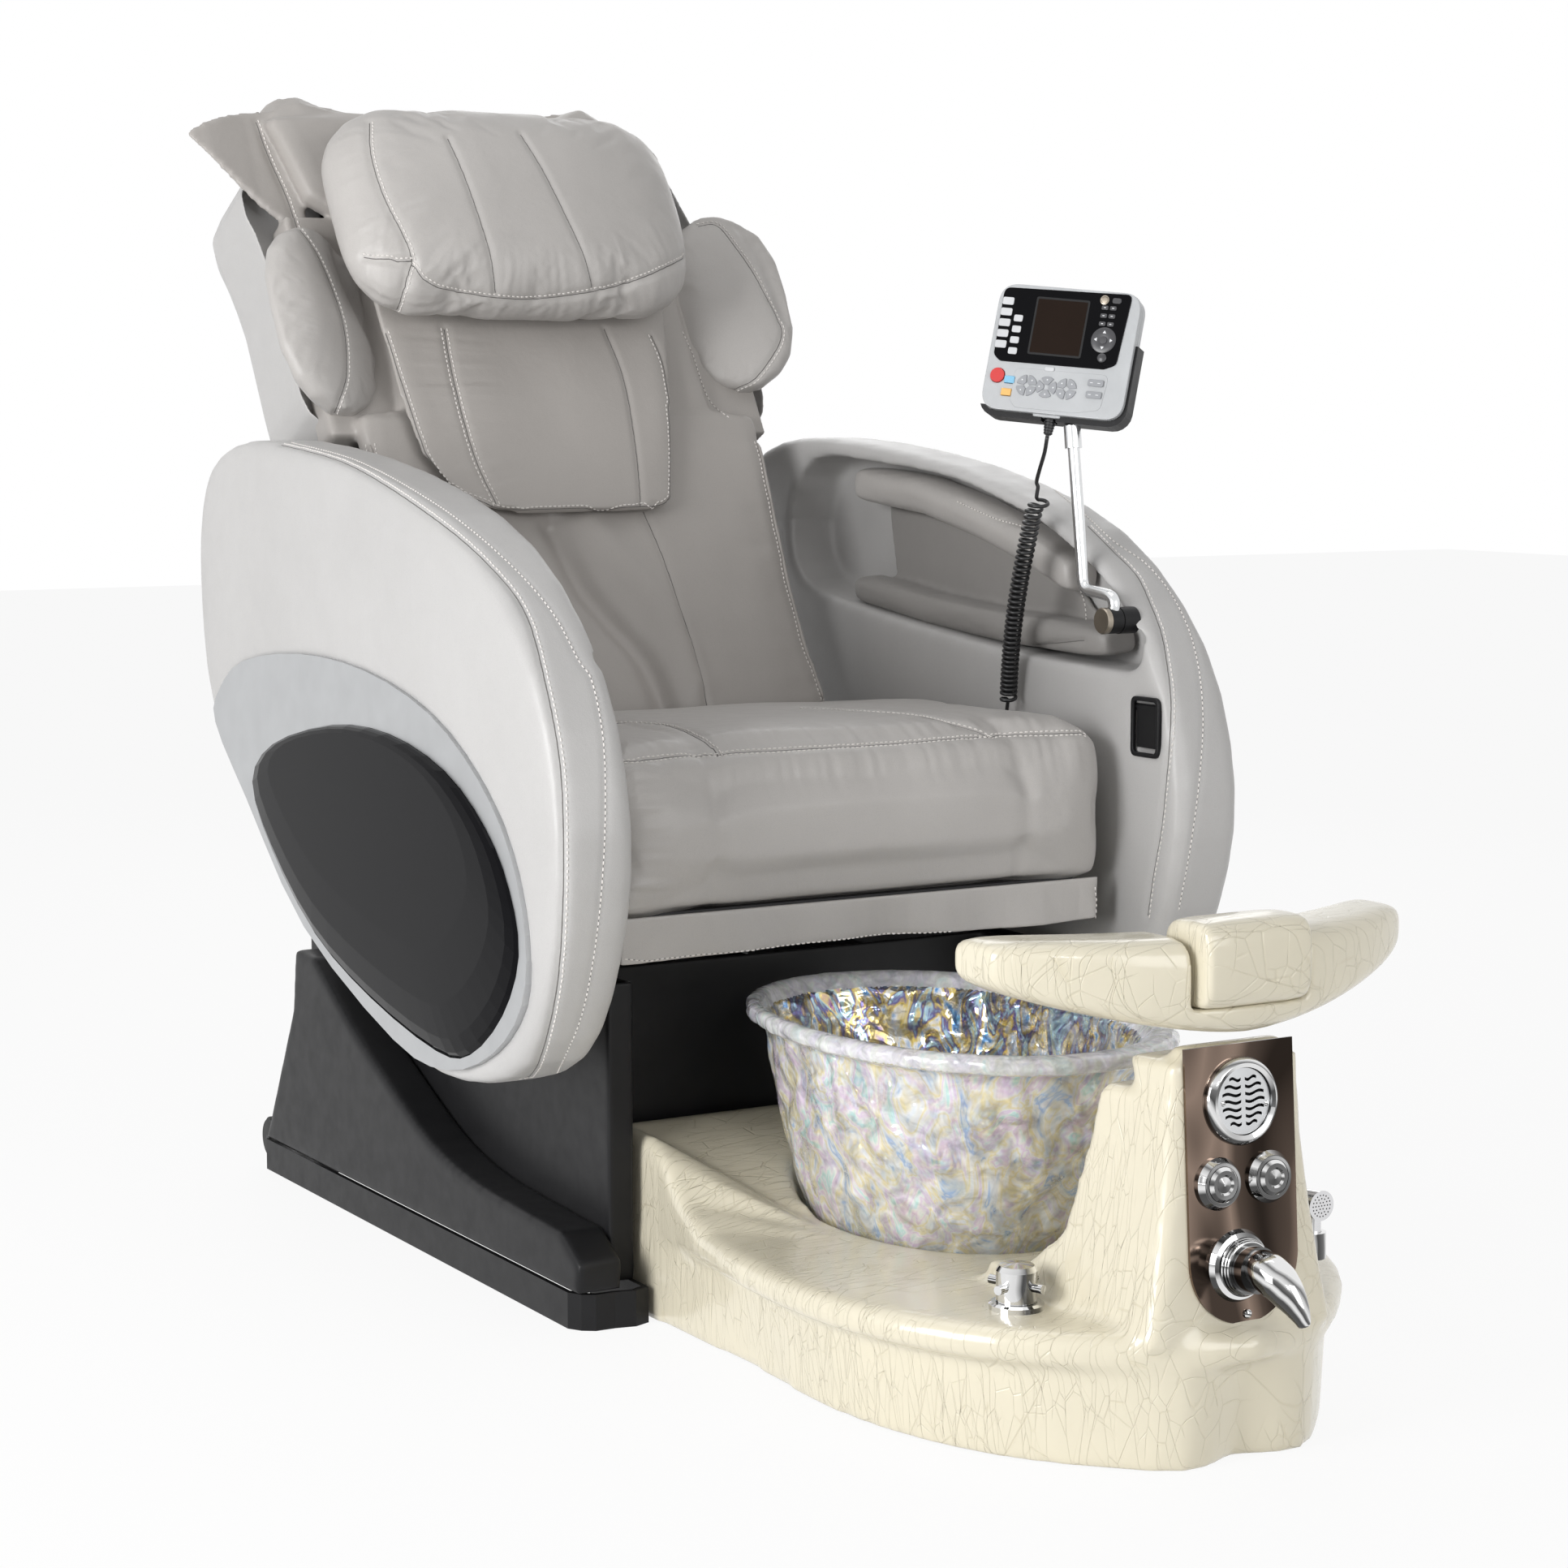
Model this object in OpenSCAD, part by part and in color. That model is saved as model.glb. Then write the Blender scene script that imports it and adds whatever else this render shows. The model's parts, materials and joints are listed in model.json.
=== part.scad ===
// Pedicure spa chair: a reclining massage chair on a sliding carriage, with a
// moulded foot tub, a glass bowl and a control tower in front of it.
// +Z is up, the front of the chair faces -Y and +X is the sitter's left.
// The origin is on the floor, at the middle of the chair base.

/* [Chair base] */
// Length of the base covers
base_len = 880; // [840:10:960]
// Width over the base covers
base_w = 694; // [680:2:720]
// Height of the floor skirt
skirt_h = 40; // [36:1:46]
// Height of the side covers at the rear
cover_h = 306; // [290:2:316]
// Height of the side covers at the front foot
foot_h = 102; // [95:1:125]
// Height of the inner cover
inner_h = 372; // [360:1:374]
// Width of the inner cover
inner_w = 584; // [570:2:586]
// Wall of every base cover
cover_wall = 4; // [3:0.5:5]
// Width of the footwell under the seat
footwell_w = 520; // [516:1:522]
// Depth of the footwell, from the front of the base
footwell_d = 100; // [96:1:106]
// Square tube of the base frame
tube = 40; // [34:1:44]
// Top of the slide rails
rail_top = 392; // [388:1:396]
// Radius of the transport wheels
wheel_r = 28; // [26:0.5:30]

/* [Seat] */
// Width of the seat cushion
seat_w = 636; // [600:2:644]
// Top of the seat cushion at its front
seat_top = 622; // [610:1:632]
// Front face of the seat cushion, from the middle of the base
seat_front = 510; // [490:2:520]
// Height of the steel seat plate
plate_h = 452; // [450:1:455]
// Length of the leather flap under the cushion
flap_len = 48; // [40:1:54]

/* [Arms] */
// Thickness of an arm, from its inner face to its outer face
arm_w = 92; // [86:1:100]
// Length of an arm from front to rear
arm_len = 1005; // [980:5:1030]
// Top of the arms
arm_top = 950; // [940:2:952]
// Bottom of the arms
arm_low = 263; // [258:1:270]
// Depth of the forearm cavity
cavity_d = 70; // [64:1:74]

/* [Back] */
// Tilt of the back from upright, in degrees
back_tilt = 28; // [24:0.5:30]
// Distance of the recline pivot behind the middle of the base
pivot_y = 110; // [108:1:114]
// Radius of the recline pins
pivot_r = 10; // [8:0.5:11]
// Length of the back above the pivot
back_len = 965; // [950:5:980]
// Width of the back above the arms
back_w = 712; // [700:2:740]
// Width of the back between the arms
waist_w = 560; // [540:2:580]
// Depth from the recline pivot forward to the back pad's face
pad_front = 120; // [118:1:124]
// Depth from the recline pivot rearward to the hard shell
shell_rear = 92; // [84:1:98]
// Width of the head pillow
pillow_w = 482; // [460:2:500]
// Height of the head pillow
pillow_h = 298; // [270:2:306]

/* [Massage mechanism] */
// Radius of the massage rollers
roller_r = 26; // [24:0.5:27]
// Radius of the guide rods
rod_r = 7; // [6:0.5:8]
// Travel of the massage carriage along the back
massage_travel = 380; // [340:10:390]

/* [Tub] */
// Front of the tub, from the middle of the base
tub_front = 1184; // [1170:2:1196]
// Width of the tub deck
tub_w = 584; // [560:2:600]
// Height of the recessed toe space
toe_h = 95; // [88:1:100]
// Height of the deck around the bowl
deck_h = 132; // [126:1:140]
// Height of the deck where it meets the chair
deck_rear_h = 200; // [190:1:206]
// Height of the control tower below the footrest
tower_h = 352; // [346:1:356]

/* [Bowl] */
// Length of the bowl rim
bowl_len = 560; // [540:5:570]
// Width of the bowl rim
bowl_w = 396; // [380:2:404]
// Height of the bowl
bowl_h = 242; // [236:1:244]
// Wall of the glass
glass_t = 9; // [7:0.5:11]
// Thickness of the rolled rim
rim_t = 22; // [18:1:24]

/* [Tower fittings] */
// Width of the mirror panel
panel_w = 128; // [122:1:132]
// Length of the mirror panel
panel_len = 265; // [258:1:266]
// Outer diameter of the vent grille
vent_d = 84; // [78:1:88]
// Outer diameter of the air button bezels
bezel_d = 50; // [46:0.5:51]
// Travel of the air buttons
button_travel = 4; // [3:0.5:5]
// Diameter of the mixer valve's wall plate
valve_d = 69; // [64:1:70]

/* [Footrest] */
// Span of the footrest board
rest_w = 516; // [500:2:530]
// Height of the footrest tips
rest_top = 500; // [494:1:506]

/* [Remote control] */
// Width of the remote control
remote_w = 174; // [170:1:184]
// Height of the remote control
remote_h = 150; // [144:1:158]
// Thickness of the remote control
remote_t = 26; // [23:0.5:29]
// Turn of the holder about its pole, in degrees
remote_turn = -54; // [-60:1:-48]
// Backward lean of the remote control, in degrees
remote_lean = 14; // [10:1:20]
// Diameter of the pole
pole_d = 14; // [12:0.5:15]

/* [Cord] */
// Diameter of the remote's cord
cord_d = 4.6; // [4:0.1:5]
// Outer diameter of the curly part
curl_d = 22; // [20:0.5:23]
// Number of curls
curls = 38; // [28:1:39]

/* [Hidden] */
gap = 0.3;        // clearance between pieces that move past each other
run = 0.06;       // radial running clearance of a shaft in its bore
seam = 0.5;       // clearance between covers that meet without touching
cut = 1;          // how far a cut runs past the face it opens
joint_gap = 0.02; // hairline between two fixed pieces whose flat faces meet

base_half = base_len / 2;
arm_gap = base_w - 4;                 // between the inner faces of the arms
pivot_z = plate_h + 48;               // height of the recline pivot
tall = back_len / 965;                // stretches the back's heights
long = base_len / 880;                // stretches the base's lengths
frame_x = 230;                        // centre of each floor runner
frame_rear = base_half - 40;
frame_front = base_half - footwell_d - 14;
drive_foot_y = 168;                   // foot of the slide drive
drive_z = plate_h - 92;
drive_r = 10;                         // rod of the slide drive
beam_low = rail_top - 17 - tube;      // underside of the top beams
rail_w = 18;
wheel_y = base_half - 3;
wheel_z = wheel_r + 10;
wheel_w = 24;
wheel_x = base_w / 2 - 8 - wheel_w / 2;
axle_r = 5;

seat_rear = 20;                       // rear face of the seat cushion
seat_half = seat_w / 2;

arm_in = arm_gap / 2;
arm_out = arm_in + arm_w;
arm_mid_y = -99.5;
arm_mid_z = (arm_top + arm_low) / 2;
arm_ry = arm_len / 2;
arm_rz = (arm_top - arm_low) / 2;

ear_x = 244;                          // middle of the back frame's pivot ears
ear_t = 10;
pad_t = 44;
shell_t = 4;
shell_front = 70;

bowl_y = -672;
bowl_z = deck_h - 20;
tower_y = -tub_front + 42;            // front face of the tower at the panel's top
tower_half = panel_w / 2 + 16;
panel_top = tower_h + 46;
panel_tilt = 4;
panel_t = 3;
vent_drop = 54;
button_drop = 129;
button_x = 30;
valve_drop = 209;
valve_x = -8;

foot = [arm_in - 19, -498, 747];      // middle of the pole's hub
elbow = [arm_in - 19, -502, 771];     // bend between the hub and the knee
knee = [arm_in - 18, -440, 784];
pole_top = [arm_in - 18, -416, 964];
hub_w = 16;
hub_r = 15.5;

// Cord: from the strain relief to the curls, and from the curls to the frame
coil_top = [arm_in - 33, -367, 886];
coil_end = [arm_in - 19, -291, 638];
coil_bow = [-2, 8, 0];                // how far the middle of the curls hangs aside
tail_end = [arm_in - 14, -276, plate_h + 16];
lead_mid = [[arm_in - 40, -392, 937], [arm_in - 38, -379, 916], [arm_in - 36, -371, 903]];
tail_path = [[arm_in - 17, -284, 616], [arm_in - 14, -277, 590], [arm_in - 14, -276, 530], tail_end];

// ---------------------------------------------------------------- functions

function turn(p) = [for (i = [len(p) - 1:-1:0]) p[i]];
function mid(r) = [for (a = [0:2]) [for (p = r) 1] * [for (p = r) p[a]] / len(r)];
function spline(a, b, c, d, t) =
    0.5 * (2 * b + (c - a) * t + (2 * a - 5 * b + 4 * c - d) * t * t
    + (3 * b - a - 3 * c + d) * t * t * t);
// Smooth closed outline through control points, k points to a span
function loop(p, k) = let (n = len(p)) [for (i = [0:n - 1]) for (j = [0:k - 1])
    spline(p[(i + n - 1) % n], p[i], p[(i + 1) % n], p[(i + 2) % n], j / k)];
// Smooth open curve through control points, k points to a span
function curve(p, k) = let (n = len(p)) concat([for (i = [0:n - 2]) for (j = [0:k - 1])
    spline(p[max(i - 1, 0)], p[i], p[i + 1], p[min(i + 2, n - 1)], j / k)], [p[n - 1]]);
// One point of a smooth curve, t from 0 to 1
function along(p, t) = let (n = len(p) - 1, s = min(floor(t * n), n - 1))
    spline(p[max(s - 1, 0)], p[s], p[s + 1], p[min(s + 2, n)], t * n - s);
function pull(c, e) = sign(c) * pow(abs(c), e);
// Rounded cross-section across X at one place along Y or Z
function oval(n, a, b, e) = [for (i = [0:n - 1]) let (t = 360 * i / n)
    [a * pull(cos(t), e), b * pull(sin(t), e)]];
function rounded(w, h, r, n = 4) = [for (q = [0:3]) for (i = [0:n])
    let (a = q * 90 + i * 90 / n, sx = (q == 0 || q == 3) ? 1 : -1, sy = q < 2 ? 1 : -1)
    [sx * (w / 2 - r) + r * cos(a), sy * (h / 2 - r) + r * sin(a)]];

// Closed skin over a stack of rings that run anticlockwise seen from the last
module skin(rings) {
    n = len(rings[0]);
    m = len(rings);
    points = concat([for (r = rings) for (p = r) p], [mid(rings[0]), mid(rings[m - 1])]);
    sides = [for (i = [0:m - 2]) for (j = [0:n - 1])
        let (a = i * n + j, b = i * n + (j + 1) % n, c = b + n, d = a + n)
        for (f = [[a, c, b], [a, d, c]]) f];
    ends = concat([for (j = [0:n - 1]) [m * n, j, (j + 1) % n]],
        [for (j = [0:n - 1]) [m * n + 1, (m - 1) * n + (j + 1) % n, (m - 1) * n + j]]);
    polyhedron(points, concat(sides, ends), convexity = 8);
}
// Tube swept along a path, its sides square to the path
module sweep(path, r, sides) {
    n = len(path);
    skin([for (i = [0:n - 1])
        let (d = path[min(i + 1, n - 1)] - path[max(i - 1, 0)], w = d / norm(d),
            h = abs(w[2]) > 0.9 ? [1, 0, 0] : [0, 0, 1],
            u = cross(h, w) / norm(cross(h, w)), v = cross(w, u))
        [for (k = [0:sides - 1]) let (t = 360 * k / sides)
            path[i] + r * cos(t) * u + r * sin(t) * v]]);
}
// Plate of a YZ outline between two X planes
module plate_x(outline, x0, x1) {
    translate([x0, 0, 0]) rotate([90, 0, 90]) linear_extrude(x1 - x0) polygon(outline);
}
// Cylinder along X
module rod_x(x0, x1, r) {
    translate([x0, 0, 0]) rotate([0, 90, 0]) cylinder(h = x1 - x0, r = r, $fn = 48);
}
module bar(low, high) {
    translate(low) cube(high - low);
}
module both_sides() {
    children();
    mirror([1, 0, 0]) children();
}

// --------------------------------------------------------------- chair base

module base_frame() color("dimgray") {
    bracket = [wheel_x - wheel_w / 2 - 8, wheel_x - wheel_w / 2 - 3];
    union() {
        both_sides() {
            bar([frame_x - tube / 2, -frame_front, 0], [frame_x + tube / 2, frame_rear, tube]);
            bar([frame_x - tube / 2, -frame_front, beam_low],
                [frame_x + tube / 2, frame_rear - 20, beam_low + tube]);
            for (y = [-frame_front + 30, frame_rear - 90])
                bar([frame_x - tube / 2, y - tube / 2, tube - cut],
                    [frame_x + tube / 2, y + tube / 2, beam_low + cut]);
            bar([frame_x - rail_w / 2, -frame_front, beam_low + tube - cut],
                [frame_x + rail_w / 2, frame_rear - 20, rail_top]);
            bar([bracket[0], frame_rear - tube, 0], [bracket[1], wheel_y + 12, wheel_z + 12]);
            translate([0, wheel_y, wheel_z]) rod_x(bracket[0] + cut, wheel_x + wheel_w / 2 + 3, axle_r);
        }
        for (y = [-frame_front + tube / 2, 0, drive_foot_y])
            bar([-frame_x, y - tube / 2, 0], [frame_x, y + tube / 2, tube]);
        bar([-bracket[1] + cut, frame_rear - tube, 0], [bracket[1] - cut, frame_rear, tube]);
    }
}
function base_outline(d) = let (x = base_w / 2 - d, y = base_half - d,
        w = (x - footwell_w / 2 - d) / 87)
    [[x, -y + 1], [x - 9 * w, -y - 14], [x - 22 * w, -y - 23], [x - 45 * w, -y - 24], [x - 68 * w, -y - 29],
    [footwell_w / 2 + d, -y - 22]];
function skirt_outline(d) = let (front = base_outline(d), well = -base_half + footwell_d + d,
        x = base_w / 2 - d, y = base_half - d)
    concat([[x, y - 12], [x - 12, y], [-x + 12, y], [-x, y - 12]],
        [for (p = front) [-p[0], p[1]]], [[-footwell_w / 2 - d, well], [footwell_w / 2 + d, well]],
        turn(front));
module wheel_slots() {
    both_sides() bar([wheel_x - wheel_w / 2 - 10, wheel_y - wheel_r - 3, -cut],
        [wheel_x + wheel_w / 2 + 4.5, base_half + cut, wheel_z + wheel_r + 4]);
}
module base_skirt() color("black") {
    difference() {
        linear_extrude(skirt_h) polygon(skirt_outline(0));
        translate([0, 0, -cut]) linear_extrude(skirt_h + 2 * cut) polygon(skirt_outline(6));
        bar([-wheel_x, frame_rear + 3, -cut], [wheel_x, base_half + cut, skirt_h + cut]);
        wheel_slots();
    }
}
module base_inner_cover() color("black") {
    x = inner_w / 2;
    y0 = -base_half + 8;
    y1 = frame_rear - 10 + 12;
    well_x = footwell_w / 2;
    well_y = -base_half + footwell_d;
    w = cover_wall;
    ring = [[x, y0], [x, y1], [-x, y1], [-x, y0], [-well_x, y0], [-well_x, well_y],
        [well_x, well_y], [well_x, y0]];
    core = [[x - w, y0 + w], [x - w, y1 - w], [w - x, y1 - w], [w - x, y0 + w],
        [-well_x - w, y0 + w], [-well_x - w, well_y + w], [well_x + w, well_y + w],
        [well_x + w, y0 + w]];
    difference() {
        translate([0, 0, skirt_h]) linear_extrude(inner_h - skirt_h) polygon(ring);
        translate([0, 0, skirt_h - cut]) linear_extrude(inner_h - skirt_h + 2 * cut)
            polygon(core);
    }
}
// Side profile of the swooping cover, drawn in by d
function swoosh(d) = let (r = base_half, h = cover_h - d, f = foot_h - d) concat(
    [[r - 8 - d, skirt_h], [r - 108 - d, h - 78], [r - 118 - d, h]],
    curve([for (p = [[179, h - 2], [292, h - 70], [412, h - 126], [527, f + 32], [637, f + 11],
        [763, f + 4], [862, f]]) [r - p[0] * long, p[1]]], 3), [[d - r - 26, f - 27]],
    [[d - r - 24, skirt_h]]);
module base_cover_side() {
    x1 = base_w / 2;
    x0 = inner_w / 2 + seam;
    difference() {
        plate_x(swoosh(0), x0, x1);
        translate([0, 0, -cut]) plate_x(swoosh(cover_wall), x0 - cut, x1 - cover_wall);
        wheel_slots();
    }
}
module base_cover_left() color("black") base_cover_side();
module base_cover_right() color("black") mirror([1, 0, 0]) base_cover_side();
module transport_wheel() {
    translate([0, wheel_y, wheel_z]) difference() {
        union() {
            rod_x(wheel_x - wheel_w / 2, wheel_x + wheel_w / 2, wheel_r - 3);
            rod_x(wheel_x - wheel_w / 2 + 3, wheel_x + wheel_w / 2 - 3, wheel_r);
        }
        rod_x(wheel_x - wheel_w, wheel_x + wheel_w, axle_r + run);
    }
}
module transport_wheel_left() color("#222222") transport_wheel();
module transport_wheel_right() color("#222222") mirror([1, 0, 0]) transport_wheel();
// Drive that pushes the seat carriage; its rod belongs to the seat frame
module slide_motor() color("silver") difference() {
    union() {
        translate([0, drive_foot_y + 22, drive_z]) rotate([90, 0, 0])
            cylinder(h = 300, r = drive_r + 8, $fn = 48);
        bar([-32, drive_foot_y - 38, drive_z - 26], [32, drive_foot_y + 32, drive_z + 26]);
        bar([-16, drive_foot_y - 16, tube], [16, drive_foot_y + 16, drive_z]);
    }
    translate([0, drive_foot_y + 13, drive_z]) rotate([90, 0, 0])
        cylinder(h = 300, r = drive_r + 1, $fn = 48);
}

// --------------------------------------------------------------------- tub

tub_half = tub_w / 2;
// Half outline of the tub deck from its rear corner to its nose, then mirrored
function tub_ring(k, z) = let (f = tub_front, w = tub_half * k, h = footwell_w / 2 - 8,
        side = curve([[h, -base_half + footwell_d - 6], [h, -base_half - 30],
            [w * 0.97, -660], [w, -800], [w * 0.95, -f + 270], [w * 0.79, -f + 160],
            [w * 0.53, -f + 74], [w * 0.26, -f + 20], [0, -f + tub_half * (1 - k)]], 3))
    concat([for (i = [0:len(side) - 1]) [side[i][0], side[i][1], z]],
        [for (i = [len(side) - 2:-1:0]) [-side[i][0], side[i][1], z]]);
// The deck falls from the chair towards the bowl and levels off
function deck_z(y) = let (t = min(max((-y - base_half) / 150, 0), 1))
    deck_rear_h + (deck_h - deck_rear_h) * (3 * t * t - 2 * t * t * t);
function drape(ring, drop) = [for (p = ring) [p[0], p[1], deck_z(p[1]) - drop]];
function inward(ring, k) = let (c = mid(ring)) [for (p = ring)
    [c[0] + (p[0] - c[0]) * k, c[1] + (p[1] - c[1]) * k, p[2]]];

// Plan of the control tower at height z, grown outwards by g at its foot
function tower_ring(z, g) = let (f = tower_y - (panel_top - z) * tan(panel_tilt), w = tower_half + g,
        rear = bowl_y - bowl_len / 2 - 16,
        half = [[w - 12, f], [w - 3, f + 4], [w, f + 14], [w + 4, f + 85], [w + 14, rear - 8],
            [w + 8, rear + 30], [w - 14, rear + 30], [w * 0.55, rear + 10]])
    concat([for (p = half) [p[0], p[1], z]], [[0, rear, z]],
        [for (p = turn(half)) [-p[0], p[1], z]]);
module bowl_seat() skin([for (s = [[0, 0.64], [60, 0.76], [0.5 * bowl_h, 0.83]])
    bowl_ring(bowl_z + s[0], s[1])]);
module tub_shell() color("cornsilk") {
    edge = turn(tub_ring(1, 0));
    neck_x = tower_half - 4;
    difference() {
        union() {
            skin([turn(tub_ring(0.87, 0)), turn(tub_ring(0.9, toe_h)),
                turn(tub_ring(1, toe_h + 6)), drape(turn(tub_ring(1.01, 0)), 14),
                drape(inward(edge, 0.985), 3), drape(inward(edge, 0.95), 0),
                drape(inward(edge, 0.6), 0), drape(inward(edge, 0.25), 0)]);
            skin([tower_ring(deck_h - 12, 34), tower_ring(deck_h + 6, 16),
                tower_ring(deck_h + 34, 5), tower_ring(deck_h + 80, 0),
                tower_ring(tower_h - 6, 0), tower_ring(tower_h, -6)]);
            skin([for (s = [[tower_h - 4, 0], [panel_top, 1]])
                let (f = tower_y - (panel_top - s[0]) * tan(panel_tilt))
                [[-neck_x, f, s[0]], [neck_x, f, s[0]], [neck_x, f + 60 + 20 * s[1], s[0]],
                [-neck_x, f + 60 + 20 * s[1], s[0]]]]);
        }
        bowl_seat();
        skin([for (z = [-cut, toe_h]) inward(turn(tub_ring(0.87, z)), 0.96)]);
        translate([0, 0, toe_h]) skin([for (z = [0, tower_h - 12 - toe_h])
            let (x = tower_half - 8, f = tower_y - (panel_top - toe_h - z) * tan(panel_tilt) + 10)
            [[-x, f, z], [x, f, z], [x, f + 84, z], [-x, f + 84, z]]]);
    }
}
// One level of the oval bowl; its smaller levels sit towards the chair
function bowl_ring(z, k) = [for (p = oval(32, bowl_w / 2 * k, bowl_len / 2 * k, 0.94))
    [p[0], bowl_y + (1 - k) * 80 + p[1], z]];
module bowl() color("lightcyan", 0.5) {
    h = bowl_h;
    r = rim_t / 2;
    t = glass_t / 170;
    lip = 1 - r / 200;
    wall = [[0, 0.58], [5, 0.62], [0.2 * h, 0.71], [0.45 * h, 0.79], [0.7 * h, 0.855], [h - 2.2 * r, 0.9]];
    translate([0, 0, bowl_z]) skin(turn(concat(
        [for (s = [[glass_t, 0.56], [glass_t + 6, 0.62], [0.25 * h, 0.725], [0.45 * h, 0.79],
            [0.7 * h, 0.855], [h - 2 * r, 0.9]]) bowl_ring(s[0], s[1] - t)],
        [bowl_ring(h - 0.3 * r, lip - 0.045), bowl_ring(h, lip), bowl_ring(h - 0.3 * r, 0.99),
            bowl_ring(h - r, 1), bowl_ring(h - 1.7 * r, 0.985)],
        turn([for (s = wall) bowl_ring(s[0], s[1])]))));
}
module bowl_strainer() color("silver")
    translate([0, bowl_y + 30, bowl_z + glass_t]) cylinder(h = 3, r = 28, $fn = 48);

// ----------------------------------------------------------- control tower

// Frame of the mirror panel: X along it, Z up it from its top edge, -Y out of it
module on_panel() {
    translate([0, tower_y - joint_gap, panel_top]) rotate([-panel_tilt, 0, 0]) children();
}
module disc_out(y0, y1, r) {
    translate([0, -y0, 0]) rotate([90, 0, 0]) cylinder(h = y1 - y0, r = r, $fn = 48);
}
module control_panel() color("silver") on_panel() difference() {
    rotate([90, 0, 0]) linear_extrude(panel_t) difference() {
        union() {
            translate([-panel_w / 2, -panel_len + panel_w / 2])
                square([panel_w, panel_len - panel_w / 2]);
            translate([0, -panel_len + panel_w / 2]) circle(panel_w / 2, $fn = 72);
        }
        translate([0, -vent_drop]) circle(vent_d / 2 - 12, $fn = 48);
    }
}
module vent_grille() color("gray") on_panel() translate([0, -panel_t, -vent_drop]) {
    face = vent_d / 2 - 13;
    pitch = 6.4;
    rotate([90, 0, 0]) rotate_extrude($fn = 72)
        polygon([[face - 1, 0], [vent_d / 2, 0], [vent_d / 2 - 2, 4], [face + 4, 8], [face - 1, 5]]);
    difference() {
        disc_out(1, 4, face);
        for (side = [-1, 1], k = [-3:3]) let (reach = sqrt(pow(face - 3, 2) - pow(k * pitch, 2)) - 2)
            translate([side > 0 ? 2 : -2 - reach, -10, k * pitch - 1.6]) cube([reach, 20, 3.2]);
    }
}
module at_button(side) {
    on_panel() translate([side * button_x, -panel_t, -button_drop]) children();
}
module button_bezels() color("silver") for (s = [-1, 1]) at_button(s) rotate([90, 0, 0])
    rotate_extrude($fn = 60) polygon([[bezel_d / 2 - 8, 0], [bezel_d / 2, 0], [bezel_d / 2, 3],
        [bezel_d / 2 - 4, 9], [bezel_d / 2 - 8, 9]]);
module air_button() rotate([90, 0, 0]) rotate_extrude($fn = 60)
    let (r = bezel_d / 2 - 8 - gap) polygon([[0, button_travel + gap], [r, button_travel + gap],
        [r, 10], [r - 3, 13], [r - 7, 13], [r - 9, 11], [0, 12]]);
module drain_button() color("silver") at_button(-1) air_button();
module power_button() color("silver") at_button(1) air_button();
module on_valve() {
    on_panel() translate([valve_x, -panel_t, -valve_drop]) children();
}
valve_neck = 18;
spindle_r = 7;
spindle_len = 10;
lever_r = 20;                         // ball of the lever, round its pin
lever_turn = 15;
module valve_body() color("silver") on_valve() union() {
    rotate([90, 0, 0]) rotate_extrude($fn = 72) polygon([[0, 0], [valve_d / 2, 0],
        [valve_d / 2 - 3, 5], [24, 8], [24, valve_neck], [0, valve_neck]]);
    disc_out(valve_neck - cut, valve_neck + spindle_len, spindle_r);
}
lever_y = valve_neck + 34;
module valve_hub() color("silver") on_valve() rotate([0, -lever_turn, 0]) difference() {
    union() {
        disc_out(valve_neck + gap, lever_y - lever_r - 0.5, 22);
        bar([-4, -lever_y - 8, -8], [4, -lever_y + lever_r + cut, 8]);
        translate([0, -lever_y, 0]) rod_x(-12, 12, 3);
    }
    disc_out(valve_neck - cut, valve_neck + spindle_len + gap, spindle_r + run);
}
module valve_lever() color("silver") on_valve() rotate([0, -lever_turn, 0]) difference() {
    union() {
        translate([0, -lever_y, 0]) sphere(lever_r, $fn = 48);
        hull() {
            translate([0, -lever_y - 8, -4]) sphere(16, $fn = 24);
            translate([0, -lever_y - 26, -26]) sphere(12.5, $fn = 24);
        }
        hull() {
            translate([0, -lever_y - 26, -26]) sphere(12.5, $fn = 24);
            translate([0, -lever_y - 38, -58]) sphere(7, $fn = 24);
        }
    }
    bar([-4.4, -lever_y - 12, -16], [4.4, -lever_y + lever_r + cut, 16]);
    translate([0, -lever_y, 0]) rod_x(-12.6, 12.6, 3 + run);
}
diverter = [-152, -1004];
module diverter_flange() color("silver") translate([diverter[0], diverter[1], deck_h + joint_gap])
    rotate_extrude($fn = 60) polygon([[0, 0], [27, 0], [27, 5], [24, 7], [8, 7], [8, 26], [0, 26]]);
module diverter_knob() color("silver") translate([diverter[0], diverter[1], deck_h + 7 + gap]) {
    difference() {
        union() {
            rotate_extrude($fn = 60) polygon([[0, 0], [20, 0], [20, 30], [17, 35], [0, 37]]);
            for (a = [20:90:290]) rotate([0, 0, a]) translate([0, 0, 16]) rotate([0, 90, 0])
                cylinder(h = 31, r = 4.5, $fn = 24);
        }
        translate([0, 0, -cut]) cylinder(h = 24, r = 8 + run, $fn = 48);
    }
}
spray = [tower_half + 54, tower_y + 46];
spray_z = 190;                        // top of the holder
spray_r = 9;                          // handle of the hand spray
module spray_holder() color("silver") difference() {
    union() {
        translate([spray[0], spray[1], spray_z - 26]) cylinder(h = 26, r = spray_r + 5, $fn = 48);
        bar([tower_half + 12, spray[1] - 7, spray_z - 22], [spray[0], spray[1] + 7, spray_z - 6]);
        translate([0, spray[1], spray_z - 14]) rod_x(tower_half + 10.2, tower_half + 16, 15);
    }
    translate([spray[0], spray[1], spray_z - 22]) cylinder(h = 30, r = spray_r + gap, $fn = 48);
}
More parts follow.
